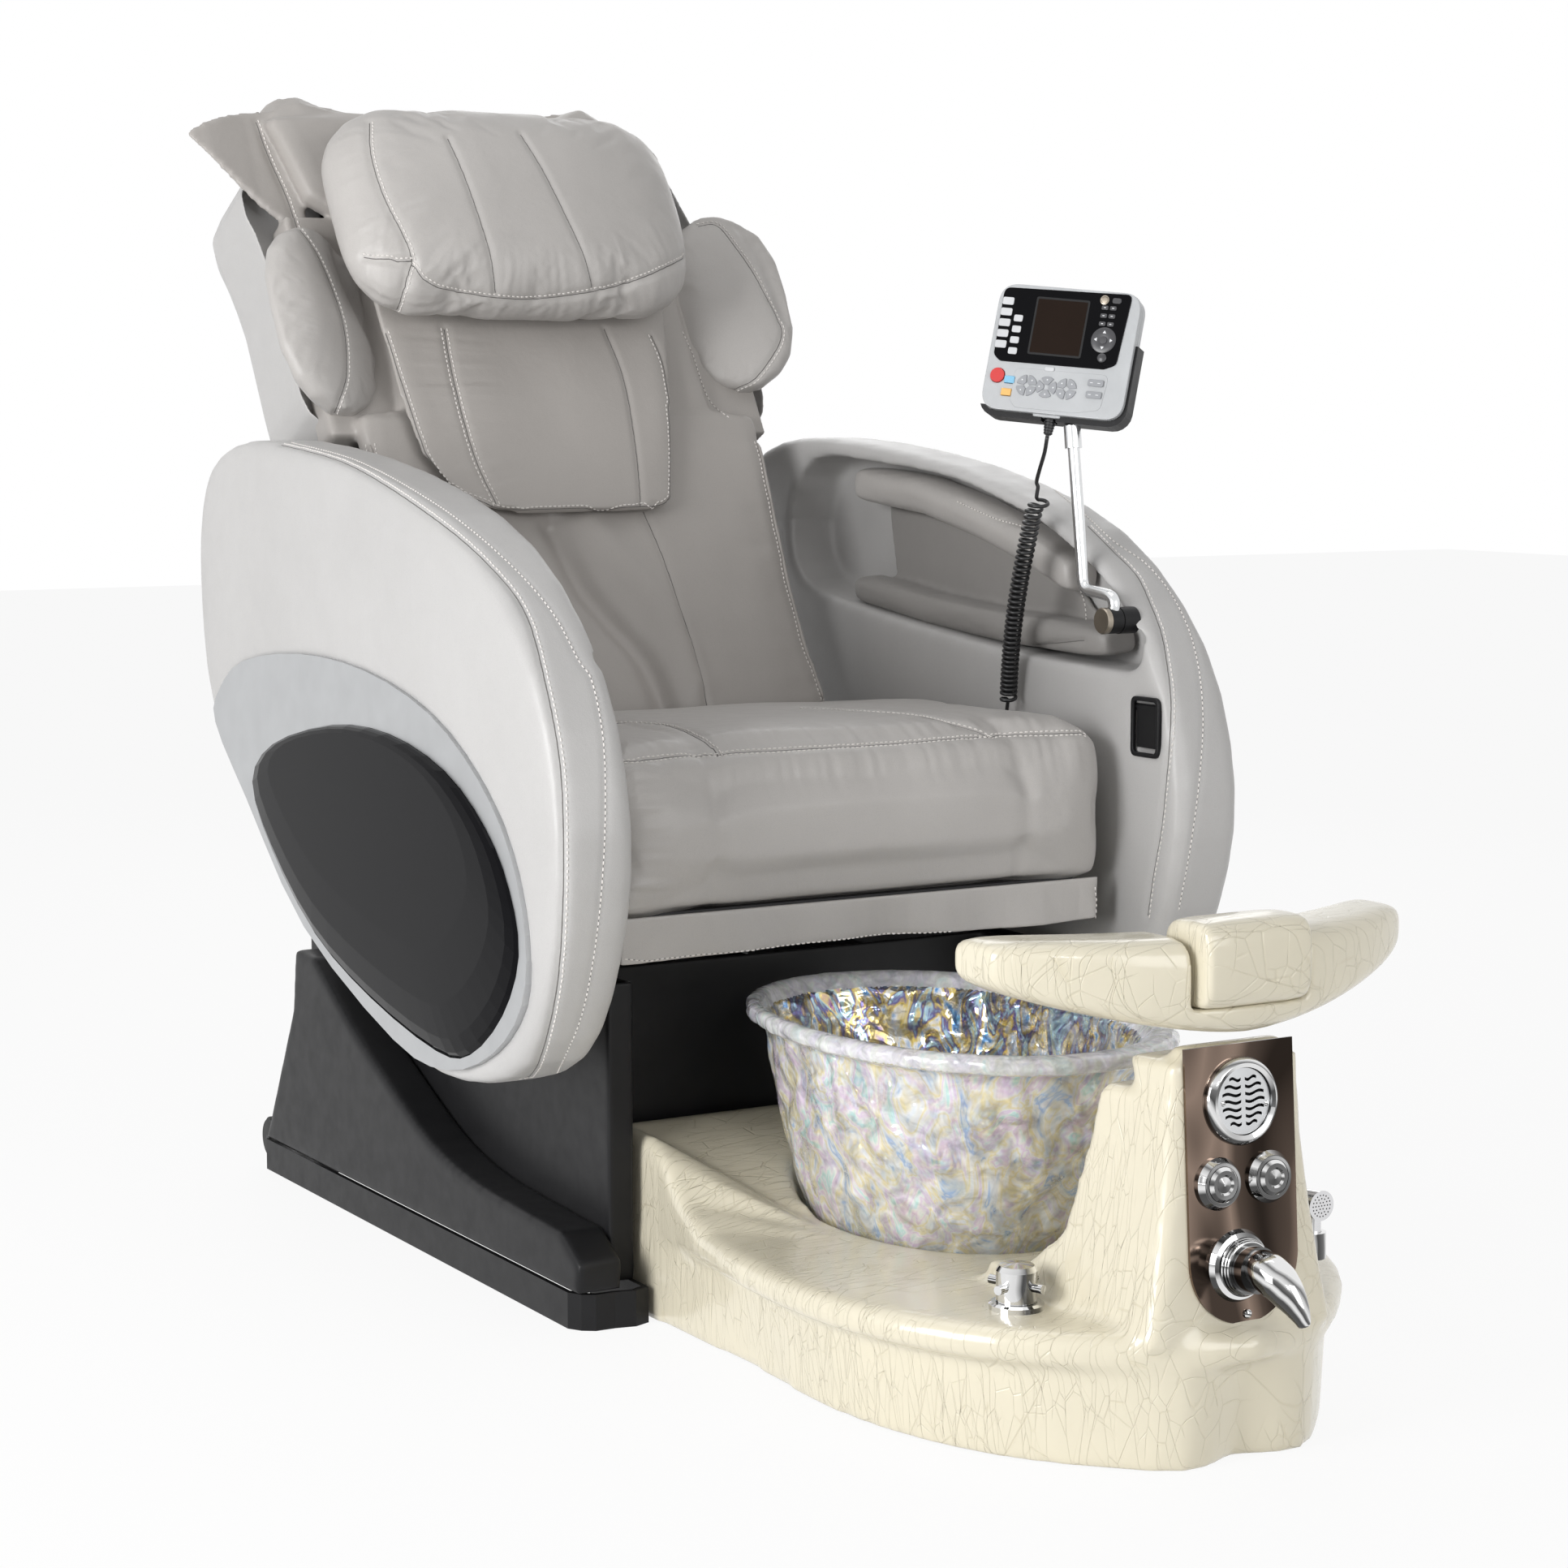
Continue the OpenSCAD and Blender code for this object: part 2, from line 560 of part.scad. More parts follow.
module spray_head() color("silver") translate([spray[0], spray[1], spray_z]) union() {
    translate([0, 0, -20]) cylinder(h = 46, r = spray_r, $fn = 48);
    translate([0, 12, 28]) rotate([90, 0, 0]) cylinder(h = 26, r1 = 12, r2 = 15, $fn = 48);
}

// ---------------------------------------------------------------- footrest

rest_y = tower_y + 12;
rest_low = panel_top;
pad_x = 62;
pad_gap = 6;
// Section of the footrest board at x: y of its front, its depth, underside and top
function rest_ring(x) = let (t = abs(x) / (rest_w / 2), end = sqrt(max(1 - pow(t, 8), 0.0009)),
        front = rest_y - 20 + 96 * t * t, depth = 104 - 30 * t, low = rest_low + 54 * pow(t, 1.3),
        cz = (rest_top + low) / 2, half = (rest_top - low) / 2 * end)
    [for (p = oval(16, depth / 2 * end, half, 0.45)) [x, front + depth / 2 + p[0], cz + p[1]]];
module footrest_board() color("cornsilk") difference() {
    skin([for (t = [-1, -0.985, -0.94, -0.85, -0.7, -0.5, -0.25, 0, 0.25, 0.5, 0.7, 0.85, 0.94, 0.985, 1])
        rest_ring(t * rest_w / 2)]);
    bar([-pad_x - pad_gap, rest_y - 60, rest_low + 30], [pad_x + pad_gap, rest_y + 46, rest_top + 20]);
}
module footrest_pad() color("cornsilk") {
    low = rest_low + 30 + gap;
    high = rest_top + 12;
    skin([for (s = [[-1, 0.9], [-0.93, 0.97], [-0.6, 1], [0.6, 1], [0.93, 0.97], [1, 0.9]])
        let (d = (rest_y + 44 - (rest_y - 30)) / 2 * s[1], h = (high - low) / 2 * s[1])
        [for (p = oval(20, d, h, 0.5)) [s[0] * pad_x, rest_y + 7 + p[0], (low + high) / 2 + p[1]]]]);
}

// ------------------------------------------------------------ seat carriage

runner_h = 14;
lug = [pivot_y, pivot_z - 70];        // lever end of the back frame
motor_y = -230;
motor_z = plate_h - 47;
module seat_frame() color("dimgray") {
    front = -seat_front + 30;
    side = seat_half - 30;
    tray_z = plate_h - 24;
    union() {
        both_sides() {
            for (y = [-250, 130]) difference() {
                bar([frame_x - 22, y - 45, rail_top - runner_h], [frame_x + 22, y + 45, tray_z + cut]);
                bar([frame_x - rail_w / 2 - gap, y - 46, rail_top - runner_h - cut],
                    [frame_x + rail_w / 2 + gap, y + 46, rail_top + gap]);
            }
            bar([side - 24, front, tray_z], [side, pivot_y + 22, plate_h - 1]);
            bar([frame_x - 22, -300, tray_z], [side, -200, plate_h - 1]);
            bar([frame_x - 22, 90, tray_z], [side, 132, plate_h - 1]);
            bar([ear_x + ear_t / 2 + gap, pivot_y - 28, tray_z],
                [ear_x + ear_t / 2 + 10, pivot_y + 22, pivot_z + 24]);
            bar([ear_x + ear_t / 2 + 2, pivot_y - 28, tray_z], [side, pivot_y + 22, plate_h - 1]);
            translate([0, pivot_y, pivot_z]) rod_x(ear_x - ear_t / 2 - 6, ear_x + ear_t / 2 + 5, pivot_r);
            for (y = [-300, -140])
                bar([side - cut, y, tray_z + 2], [arm_in, y + 50, plate_h - 3]);
        }
        bar([-side, front, tray_z], [side, front + 24, plate_h - 1]);
        bar([-side, front, plate_h - 3], [side, seat_rear + 6, plate_h]);
        bar([-14, motor_y - 38, drive_z - 12], [14, motor_y - 24, plate_h - 2]);
        translate([0, motor_y - 26, drive_z]) rotate([-90, 0, 0]) cylinder(h = 300, r = drive_r, $fn = 48);
        translate([tail_end[0], tail_end[1], plate_h - 4])
            cylinder(h = tail_end[2] - plate_h + 4, r = 5, $fn = 32);
        bar([-34, motor_y - 20, plate_h - 12], [34, motor_y + 12, plate_h - 2]);
        for (x = [-30, 22]) bar([x, motor_y - 14, motor_z - 14], [x + 8, motor_y + 12, plate_h - 8]);
        translate([0, motor_y, motor_z]) rod_x(-26, 26, 6);
    }
}

// Profile of the seat cushion, front to rear over the top, then its flat underside
function seat_profile() = concat(
    curve([[-seat_front + 10, plate_h], [-seat_front + 2, plate_h + 26], [-seat_front, 540],
        [-seat_front + 5, seat_top - 24], [-seat_front + 26, seat_top], [-400, seat_top + 8],
        [-200, seat_top + 6], [-40, seat_top - 6], [seat_rear - 6, seat_top - 16]], 2),
    [[seat_rear, seat_top - 30], [seat_rear, plate_h + 20], [seat_rear - 8, plate_h],
    [-240, plate_h]]);
module seat_cushion() color("#aaa7a4") {
    c = [-245, plate_h];
    w = seat_half;
    seam_x = w - 118;
    skin([for (s = [[-w, 0.93], [-w + 3, 0.965], [-w + 14, 0.99], [-w + 40, 1], [-seam_x - 10, 1.003],
        [-seam_x, 0.985], [-seam_x + 10, 1.004], [-w / 3, 1.012], [w / 3, 1.012], [seam_x - 10, 1.004],
        [seam_x, 0.985], [seam_x + 10, 1.003], [w - 40, 1], [w - 14, 0.99], [w - 3, 0.965], [w, 0.93]])
        [for (p = turn(seat_profile()))
            [s[0], c[0] + (p[0] - c[0]) * min(s[1], 1), c[1] + (p[1] - c[1]) * s[1]]]]);
}
module seat_flap() color("#b4b1ae") {
    w = seat_half - 8;
    y = -seat_front + 14;
    skin([for (i = [-12:12]) let (x = i * w / 12, sway = 2.5 * sin(i * 75) + 1.5 * cos(i * 40))
        [[x, y - 3, plate_h], [x, y - 3 + sway, plate_h - flap_len + 2],
        [x, y + sway, plate_h - flap_len], [x, y + 3 + sway, plate_h - flap_len + 2],
        [x, y + 3, plate_h]]]);
}

// -------------------------------------------------------------------- arms

// Outlines in the YZ plane as shares of the arm's half length and half height
arm_shape = [[1, 0.44], [0.98, 0.77], [0.86, 0.95], [0.55, 1], [-0.06, 0.905], [-0.57, 0.695],
    [-0.885, 0.32], [-1, -0.14], [-0.95, -0.55], [-0.8, -0.87], [-0.5, -1], [-0.16, -0.95],
    [0.31, -0.69], [0.68, -0.27], [0.93, 0.04]];
ring_shape = [[0.83, 0.1], [0.67, 0.22], [0.31, 0.28], [-0.07, 0.26], [-0.41, 0.16], [-0.65, -0.01],
    [-0.8, -0.21], [-0.87, -0.45], [-0.85, -0.67], [-0.71, -0.85], [-0.48, -0.96], [-0.2, -0.93],
    [0.31, -0.66], [0.66, -0.27], [0.86, -0.02]];
bubble_shape = [[0.61, -0.21], [0.47, -0.05], [0.12, 0.06], [-0.2, 0.07], [-0.49, -0.01],
    [-0.69, -0.16], [-0.8, -0.33], [-0.84, -0.52], [-0.76, -0.72], [-0.6, -0.88], [-0.43, -0.91],
    [-0.08, -0.82], [0.24, -0.67], [0.49, -0.43]];
window_shape = [[0.6, 0.915], [0.28, 0.91], [-0.05, 0.865], [-0.25, 0.8], [-0.44, 0.72], [-0.58, 0.63],
    [-0.69, 0.54], [-0.77, 0.45], [-0.825, 0.385], [-0.85, 0.315], [-0.83, 0.258], [-0.75, 0.24], [-0.4, 0.258],
    [0, 0.31], [0.4, 0.38], [0.64, 0.46], [0.7, 0.68]];
ring_floor = arm_out - 8;             // bottom of the pocket that the ring sits in
ring_out = arm_out + 5;
// Arm outline from shape control points, drawn in by d
function arm_curve(shape, d, k = 3) = [for (p = loop(shape, k))
    [arm_mid_y + p[0] * (arm_ry - d), arm_mid_z + p[1] * (arm_rz - d)]];
function arm_ring_at(shape, x, d) = [for (p = arm_curve(shape, d)) [x, p[0], p[1]]];
// Middle lines of the upper pad and of the air bag, in the YZ plane
function pad_path(t) = [along([122, 0, -125, -248, -358], t),
    along([890, 884, 861, 829, 789], t)];
function bag_path(t) = [along([114, -22, -165, -310, -438], t),
    along([756, 738, 726, 719, 717], t)];
latch = [-539, 627];                  // middle of the latch
module arm_shell() difference() {
    skin([for (s = [[0, 12], [5, 4], [14, 0], [arm_w - 14, 0], [arm_w - 5, 6], [arm_w, 17], [arm_w + 3, 60],
        [arm_w + 4, 150]]) arm_ring_at(arm_shape, arm_in + s[0], s[1])]);
    plate_x(arm_curve(window_shape, 0), arm_in - cut, arm_in + cavity_d);
    plate_x(arm_curve(ring_shape, -seam), ring_floor, arm_out + 10);
}
module latch_pocket() {
    bar([arm_in - cut, latch[0] - 24, latch[1] - 31], [arm_in + 16, latch[0] + 24, latch[1] + 31]);
}
module arm_shell_left() color("#aeaba8") difference() {
    arm_shell();
    latch_pocket();
    translate([0, foot[1], foot[2]]) rod_x(arm_in - cut, arm_in + cavity_d, hub_r + joint_gap);
}
module arm_shell_right() color("#aeaba8") mirror([1, 0, 0]) arm_shell();
module arm_ring() difference() {
    plate_x(arm_curve(ring_shape, 0), ring_floor, ring_out);
    plate_x(arm_curve(bubble_shape, -seam), ring_floor - cut, ring_out + cut);
}
module arm_ring_left() color("silver") arm_ring();
module arm_ring_right() color("silver") mirror([1, 0, 0]) arm_ring();
module arm_bubble() skin([for (s = [[0, 0], [11, 0], [16, 6], [20, 22], [23, 60], [24, 120]])
    arm_ring_at(bubble_shape, ring_floor + s[0], s[1])]);
module arm_bubble_left() color("black") arm_bubble();
module arm_bubble_right() color("black") mirror([1, 0, 0]) arm_bubble();
module arm_upper_pad() {
    x = arm_in + cavity_d - 28;
    skin([for (s = [[0, 0.72], [0.02, 0.9], [0.06, 1], [0.3, 1], [0.55, 1], [0.8, 1], [0.94, 0.98],
        [0.98, 0.88], [1, 0.7]]) let (c = pad_path(s[0]))
        [for (p = oval(14, 28 * s[1], 22 * s[1], 0.5)) [x + p[0], c[0], c[1] + p[1]]]]);
}
module arm_upper_pad_left() color("#a19d9a") arm_upper_pad();
module arm_upper_pad_right() color("#a19d9a") mirror([1, 0, 0]) arm_upper_pad();
module arm_airbag() {
    x = arm_in + cavity_d - 30;
    skin([for (s = [[0, 0.75], [0.02, 0.92], [0.06, 1], [0.3, 1], [0.6, 1], [0.9, 1], [0.97, 0.9],
        [1, 0.72]]) let (c = bag_path(s[0]))
        [for (p = oval(14, 30 * s[1], 17 * s[1], 0.5)) [x + p[0], c[0], c[1] + p[1]]]]);
    plate_x(concat([for (t = [0.08:0.16:0.9]) let (c = bag_path(t)) [c[0], c[1] + 12]],
        [for (t = [0.9:-0.17:0.05]) let (c = pad_path(t)) [c[0], c[1] - 25]]), x + 22, x + 29);
}
module arm_airbag_left() color("#8f8b88") arm_airbag();
module arm_airbag_right() color("#8f8b88") mirror([1, 0, 0]) arm_airbag();
module latch_paddle() color("black") union() {
    bar([arm_in + 2, latch[0] - 19, latch[1] - 24], [arm_in + 6, latch[0] + 19, latch[1] + 22]);
    translate([arm_in + 6, latch[0] - 24 + gap, latch[1] + 22]) rotate([-90, 0, 0])
        cylinder(h = 48 - 2 * gap, r = 4, $fn = 32);
}

// -------------------------------------------------------------------- back

// Frame of the back: origin on the recline axis, Z up the back, -Y its front
module on_back() {
    translate([0, pivot_y, pivot_z]) rotate([-back_tilt, 0, 0]) children();
}
rod_x0 = 100;
shell_top = back_len - 58;
side_x = ear_x - ear_t / 2;
carriage_z = 230;
carriage_h = 60;
roller_y = -40;
shaft_r = 8;
module back_frame() color("dimgray") {
    low_bar = 45;
    top_bar = back_len - 90;
    back_post = shell_rear - shell_t;
    union() {
        on_back() {
            both_sides() {
                difference() {
                    union() {
                        rod_x(side_x, side_x + ear_t, 22);
                        bar([side_x, -14, 0], [side_x + ear_t, 14, 120]);
                    }
                    rod_x(side_x - cut, side_x + ear_t + cut, pivot_r + run);
                }
                bar([side_x - 20, -13, 32], [side_x + 0.5, 13, top_bar + 12]);
                translate([rod_x0, 0, low_bar]) cylinder(h = top_bar - low_bar, r = rod_r, $fn = 48);
                for (z = [0.166, 0.829] * back_len) translate([side_x - 10, 0, z]) rotate([-90, 0, 0])
                    cylinder(h = back_post, r = 8, $fn = 32);
                for (z = [0.114, 0.466, 0.881] * back_len)
                    bar([side_x - 18, -pad_front + pad_t, z], [side_x - 2, 0, z + 24]);
                bar([side_x - 12, -94, 600 * tall], [side_x - 4, 0, 640 * tall]);
            }
            for (z = [low_bar, top_bar])
                bar([-side_x + cut, -12, z - 12], [side_x - cut, 12, z + 12]);
        }
        let (t = back_tilt, top = [pivot_y + low_bar * sin(t), pivot_z + low_bar * cos(t)])
            both_sides() plate_x([[top[0] - 12, top[1]], [lug[0] - 12, lug[1]],
                [lug[0] - 7, lug[1] - 11], [lug[0] + 7, lug[1] - 11], [lug[0] + 12, lug[1]],
                [top[0] + 12, top[1]]], 12, 20);
        translate([0, lug[0], lug[1]]) rod_x(-18, 18, 6);
    }
}
// Outline of the hard shell in the back's XZ plane
function shell_outline(d) = let (a = waist_w / 2 - d, b = back_w / 2 - d, low = 44 + d, top = shell_top - d,
        k = tall, hip = [[a - 20, low], [a, low + 24], [a, 300 * k], [a, 420 * k]],
        side = [[a + 6, 470 * k], [b - 28, 512 * k], [b - 20, 570 * k], [b - 18, 690 * k]],
        left = [[b - 32, 746 * k], [b - 64, 800 * k], [b - 78, 850 * k], [b - 100, top - 14], [b - 160, top]],
        right = [[b - 8, 762 * k], [b, 822 * k], [b - 48, top - 24], [b - 125, top]])
    concat(hip, curve(concat(side, left), 2),
        turn([for (p = concat(hip, curve(concat(side, right), 2))) [-p[0], p[1]]]));
lining_y = -48;                       // leather lining beside the back pad
function shell_ring(y, d) = [for (p = turn(shell_outline(d))) [p[0], y, p[1]]];
module back_shell() color("#b3b0ad") on_back() union() {
    intersection() {
        skin([shell_ring(lining_y, 1), shell_ring(lining_y + shell_t, 1)]);
        both_sides() bar([side_x - 0.5, lining_y - cut, 486 * tall], [back_w / 2, lining_y + 9, shell_top]);
    }
    difference() {
    skin([shell_ring(shell_rear - shell_t, 42), shell_ring(shell_rear - 18, 16 + shell_t),
        shell_ring(shell_rear - 46, 2 + shell_t), shell_ring(-shell_front, shell_t),
        shell_ring(-shell_front, 0), shell_ring(shell_rear - 44, 0), shell_ring(shell_rear - 14, 14),
        shell_ring(shell_rear, 40)]);
    bar([-ear_x - 12, -shell_front - cut, 30], [ear_x + 12, 24, 60]);
    }
}
// One level of the back pad: height, right and left ends, front and rear faces
function pad_ring(z, x0, x1, y0, y1) = let (c = (y0 + y1) / 2, b = (y1 - y0) / 2, w = (x1 - x0) / 2)
    [for (p = oval(20, w, b, 0.4)) let (x = (x0 + x1) / 2 + p[0])
        [x, c + p[1] + (p[1] < 0 && z < 900 * tall ? 9 * (1 - pow(p[0] / w, 2)) : 0),
        z + top_wave(x) * min(max((z - back_len + 42) / 42, 0), 1)]];
// The top edge rises to a lapel on each side of the pillow
function top_wave(x) = 32 * exp(-pow((x + 262) / 40, 2)) + 34 * exp(-pow((x - 160) / 42, 2)) - 18;
lap_tip = -420;                       // free corner of the lap, beyond the shell
module back_pad() color("#aaa7a4") on_back() {
    f = -pad_front;
    r = f + pad_t;
    w = waist_w / 2;
    k = tall;
    top = back_len;
    skin([for (s = [[45, 12 - w, w - 12, f + 16, r], [52, 4 - w, w - 4, f + 6, r], [75, 3 - w, w - 3, f, r],
        [150, 12 - w, w - 12, f - 3, r], [280 * k, 6 - w, w - 6, f - 2, r],
        [420 * k, -w - 2, w + 2, f - 2, r], [478 * k, -w - 4, w + 4, f, r], [486 * k, -w, w, f + 4, r],
        [492 * k, -222, 222, f + 2, r], [560 * k, -214, 214, f - 2, r], [700 * k, -214, 214, f - 2, r],
        [752 * k, -222, 222, f, r], [800 * k, -284, 248, f, r], [880 * k, -304, 246, f + 4, r],
        [top - 54, -312, 230, f + 10, r + 2], [top - 42, -312, 224, f + 16, 44],
        [top - 22, -308, 218, f + 26, 54], [top - 7, -300, 210, f + 42, 36], [top, -284, 198, f + 66, 0]])
        pad_ring(s[0], s[1], s[2], s[3], s[4])]);
    // Loose lap of the cover that hangs over the shell at the sitter's right
    skin([for (t = [0, 0.2, 0.4, 0.6, 0.8, 0.95, 1]) let (x = -278 + (lap_tip + 278) * t,
        y = f + 40 + 5 * sin(t * 300) - 8 * t, thin = t < 1 ? 3 : 1.5,
        low = top - 215 + 140 * pow(t, 1.15), high = top - 25 - 45 * t * t)
        [for (p = [[thin, low], [-thin, low], [-thin, high], [thin, high]]) [x, y + p[0], p[1]]]]);
}
pillow_x = -57;
module neck_flap() color("#aeaba8") on_back() {
    y = -pad_front - 8;
    skin([for (s = [[338, -98, 80], [342, -140, 102], [352, -180, 114], [420, -222, 130], [500, -232, 148],
        [640, -240, 170]])
        [for (p = rounded(s[2] - s[1], 10, 4, 2)) [(s[1] + s[2]) / 2 + p[0], y - 5 + p[1], s[0] * tall]]]);
}
module pillow() color("#b0adaa") on_back() {
    c = [-pad_front - 13 - 66, 722 * tall];
    skin([for (t = [-1, -0.985, -0.94, -0.85, -0.7, -0.5, -0.25, 0, 0.25, 0.5, 0.7, 0.85, 0.94, 0.985, 1])
        let (e = sqrt(max(1 - pow(abs(t), 5), 0.02)), seam_dip = 1 - 0.03 * (abs(abs(t) - 0.5) < 0.1 ? 1 : 0))
        [for (p = oval(22, 66 * e * seam_dip, pillow_h / 2 * (0.35 + 0.65 * e) * seam_dip, 0.8))
            [pillow_x + t * pillow_w / 2, c[0] + p[0] + 8 * (1 - e), c[1] + p[1]]]]);
}
module wing_pad(lift) {
    c = [300 - lift / 4, -104];
    low = 490 * tall + lift;
    high = 748 * tall + lift;
    skin([for (t = [-1, -0.97, -0.88, -0.7, -0.4, 0, 0.4, 0.7, 0.88, 0.97, 1])
        let (e = pow(max(1 - pow(abs(t), 3), 0.05), 0.5), a = -22)
        [for (p = oval(18, 82 * e, 25 * (0.4 + 0.6 * e), 0.8))
            [c[0] + p[0] * cos(a) - p[1] * sin(a), c[1] + p[0] * sin(a) + p[1] * cos(a),
            (low + high) / 2 + t * (high - low) / 2]]]);
}
module wing_pad_left() color("#aba8a5") on_back() wing_pad(36);
module wing_pad_right() color("#aba8a5") on_back() mirror([1, 0, 0]) wing_pad(0);

// ------------------------------------------------------- massage mechanism

module massage_carriage() color("#444444") on_back() translate([0, 0, carriage_z]) difference() {
    union() {
        bar([-rod_x0 - 16, -16, 0], [rod_x0 + 16, 16, carriage_h]);
        bar([-40, 14, 6], [40, 56, carriage_h - 6]);
        both_sides() bar([84, roller_y - 14, carriage_h / 2 - 14], [92, 0, carriage_h / 2 + 14]);
    }
    both_sides() {
        translate([rod_x0, 0, -cut]) cylinder(h = carriage_h + 2 * cut, r = rod_r + run, $fn = 48);
        translate([0, roller_y, carriage_h / 2]) rod_x(83, 93, shaft_r + run);
    }
    bar([-70, -20, carriage_h / 2 - 24], [70, -5, carriage_h / 2 + 24]);
}
module massage_rollers() color("#5b5048") on_back()
    translate([0, roller_y, carriage_z + carriage_h / 2]) union() {
        rod_x(-94, 94, shaft_r);
        for (s = [-1, 1]) translate([0, 0, 5 * s])
            rod_x(s > 0 ? 26 : -50, s > 0 ? 50 : -26, roller_r - 2);
    }

// --------------------------------------------------------- recline drive

motor_tilt = atan2(lug[1] - motor_z, lug[0] - motor_y);
motor_len = norm([lug[0] - motor_y, lug[1] - motor_z]);
module on_motor() {
    translate([0, motor_y, motor_z]) rotate([motor_tilt, 0, 0]) children();
}
module recline_motor() color("#333333") on_motor() difference() {
    union() {
        rod_x(-18, 18, 13);
        rotate([-90, 0, 0]) cylinder(h = 210, r = 16, $fn = 48);
        bar([-24, 30, -17], [24, 96, 18]);
    }
    rod_x(-19, 19, 6 + run);
    translate([0, 60, 0]) rotate([-90, 0, 0]) cylinder(h = 160, r = 9 + gap, $fn = 48);
}
module recline_rod() color("silver") on_motor() difference() {
    union() {
        translate([0, 120, 0]) rotate([-90, 0, 0]) cylinder(h = motor_len - 134, r = 9, $fn = 48);
        translate([0, motor_len, 0]) rod_x(-9, 9, 17);
    }
    translate([0, motor_len, 0]) rod_x(-10, 10, 11);
}

// ----------------------------------------------------- remote and its cord

pole_lean = atan2(pole_top[1] - knee[1], pole_top[2] - knee[2]);
module pole_bracket() color("#222222") translate([0, foot[1], foot[2]]) union() {
    rod_x(foot[0] + hub_w / 2 + gap, arm_in + cavity_d, hub_r);
    rod_x(foot[0] - hub_w / 2 - 5, arm_in - 3, 6);
    rod_x(foot[0] - hub_w / 2 - 5, foot[0] - hub_w / 2 - gap, hub_r);
}
// Frame of the pole: origin at its top, Z along it
module on_pole() {
    translate(pole_top) rotate([-pole_lean, 0, 0]) children();
}
// Round bar between two points of the plane X = a[0]
module bar_between(a, b, r) translate(a) rotate([-atan2(b[1] - a[1], b[2] - a[2]), 0, 0])
    cylinder(h = norm(b - a), r = r, $fn = 48);
module remote_pole() color("silver") union() {
    difference() {
        union() {
            bar_between([knee[0], foot[1], foot[2]], [knee[0], elbow[1], elbow[2]], pole_d / 2 - 0.5);
            translate([0, foot[1], foot[2]]) rod_x(foot[0] - hub_w / 2, foot[0] + hub_w / 2, hub_r - 0.5);
        }
        translate([0, foot[1], foot[2]]) rod_x(foot[0] - hub_w, foot[0] + hub_w, 6 + run);
    }
    translate([knee[0], elbow[1], elbow[2]]) sphere(pole_d / 2, $fn = 48);
    bar_between([knee[0], elbow[1], elbow[2]], knee, pole_d / 2 - 0.5);
    translate(knee) sphere(pole_d / 2 + 0.5, $fn = 48);
    bar_between(knee, pole_top - [0, sin(pole_lean), cos(pole_lean)] * 22, pole_d / 2);
    on_pole() translate([0, 0, -24]) cylinder(h = 20, r = pin_r, $fn = 48);
}
pin_r = 4.5;                          // pin that the cradle turns on
remote_roll = 5.5;
relief_x = -2;                        // strain relief, from the middle of the remote
relief_len = 22;
remote_foot = pole_top + [-16, 17, 14.5]; // middle of the remote's lower edge
module on_remote() {
    translate(remote_foot) rotate([0, 0, remote_turn]) rotate([-remote_lean, 0, 0])
        rotate([0, remote_roll, 0]) children();
}
// A point of the remote's own frame, in the frame of the whole chair
function remote_point(p) = let (l = -remote_lean, t = remote_turn, r = remote_roll,
        a = [p[0] * cos(r) + p[2] * sin(r), p[1], p[2] * cos(r) - p[0] * sin(r)],
        b = [a[0], a[1] * cos(l) - a[2] * sin(l), a[1] * sin(l) + a[2] * cos(l)])
    remote_foot + [b[0] * cos(t) - b[1] * sin(t), b[0] * sin(t) + b[1] * cos(t), b[2]];
// Plate in the remote's face plane, y0 to y1 behind the face's middle plane
module plate_y(y0, y1) {
    translate([0, y1, 0]) rotate([90, 0, 0]) linear_extrude(y1 - y0) children();
}
module face_shape(w, h, r) polygon([for (p = rounded(w, h, r, 5)) [p[0], p[1] + remote_h / 2]]);
module remote_holder() color("#1c1c1c") difference() {
    union() {
        on_pole() translate([0, 0, -22 + gap]) cylinder(h = 26, r = pole_d / 2 + 3, $fn = 48);
        on_remote() intersection() {
            translate([0, 0, -3.5]) plate_y(6 - remote_t / 2, remote_t / 2 + 3)
                face_shape(remote_w + 7, remote_h + 7, 21);
            union() {
                bar([-remote_w / 2 - 8, -40, -8], [remote_w / 2 + 8, 40, 6]);
                bar([remote_w / 2 - 7, -40, -8], [remote_w / 2 + 8, 40, remote_h * 0.6]);
            }
        }
    }
    on_remote() {
        plate_y(-remote_t / 2 - gap, remote_t / 2 + gap) union() {
            face_shape(remote_w + 2 * gap, remote_h + 2 * gap, 18);
            translate([-remote_w / 2 - gap, 40]) square([remote_w + 2 * gap, remote_h]);
        }
        translate([relief_x, 0, -30]) cylinder(h = 40, r = 9, $fn = 32);
        bar([relief_x - 9, -30, -30], [relief_x + 9, 0, 12]);
    }
    on_pole() translate([0, 0, -30]) cylinder(h = 27, r = pin_r + run, $fn = 48);
}
key_travel = 1.2;
key_proud = 2;                        // how far the three coloured keys stand out
key_len = 6;
key_hole = key_len - key_proud + key_travel + gap;
red_key = [-71.5, 40, 8.5];
blue_key = [-55.5, 36];
amber_key = [-57, 21];
small_key = [12, 8];
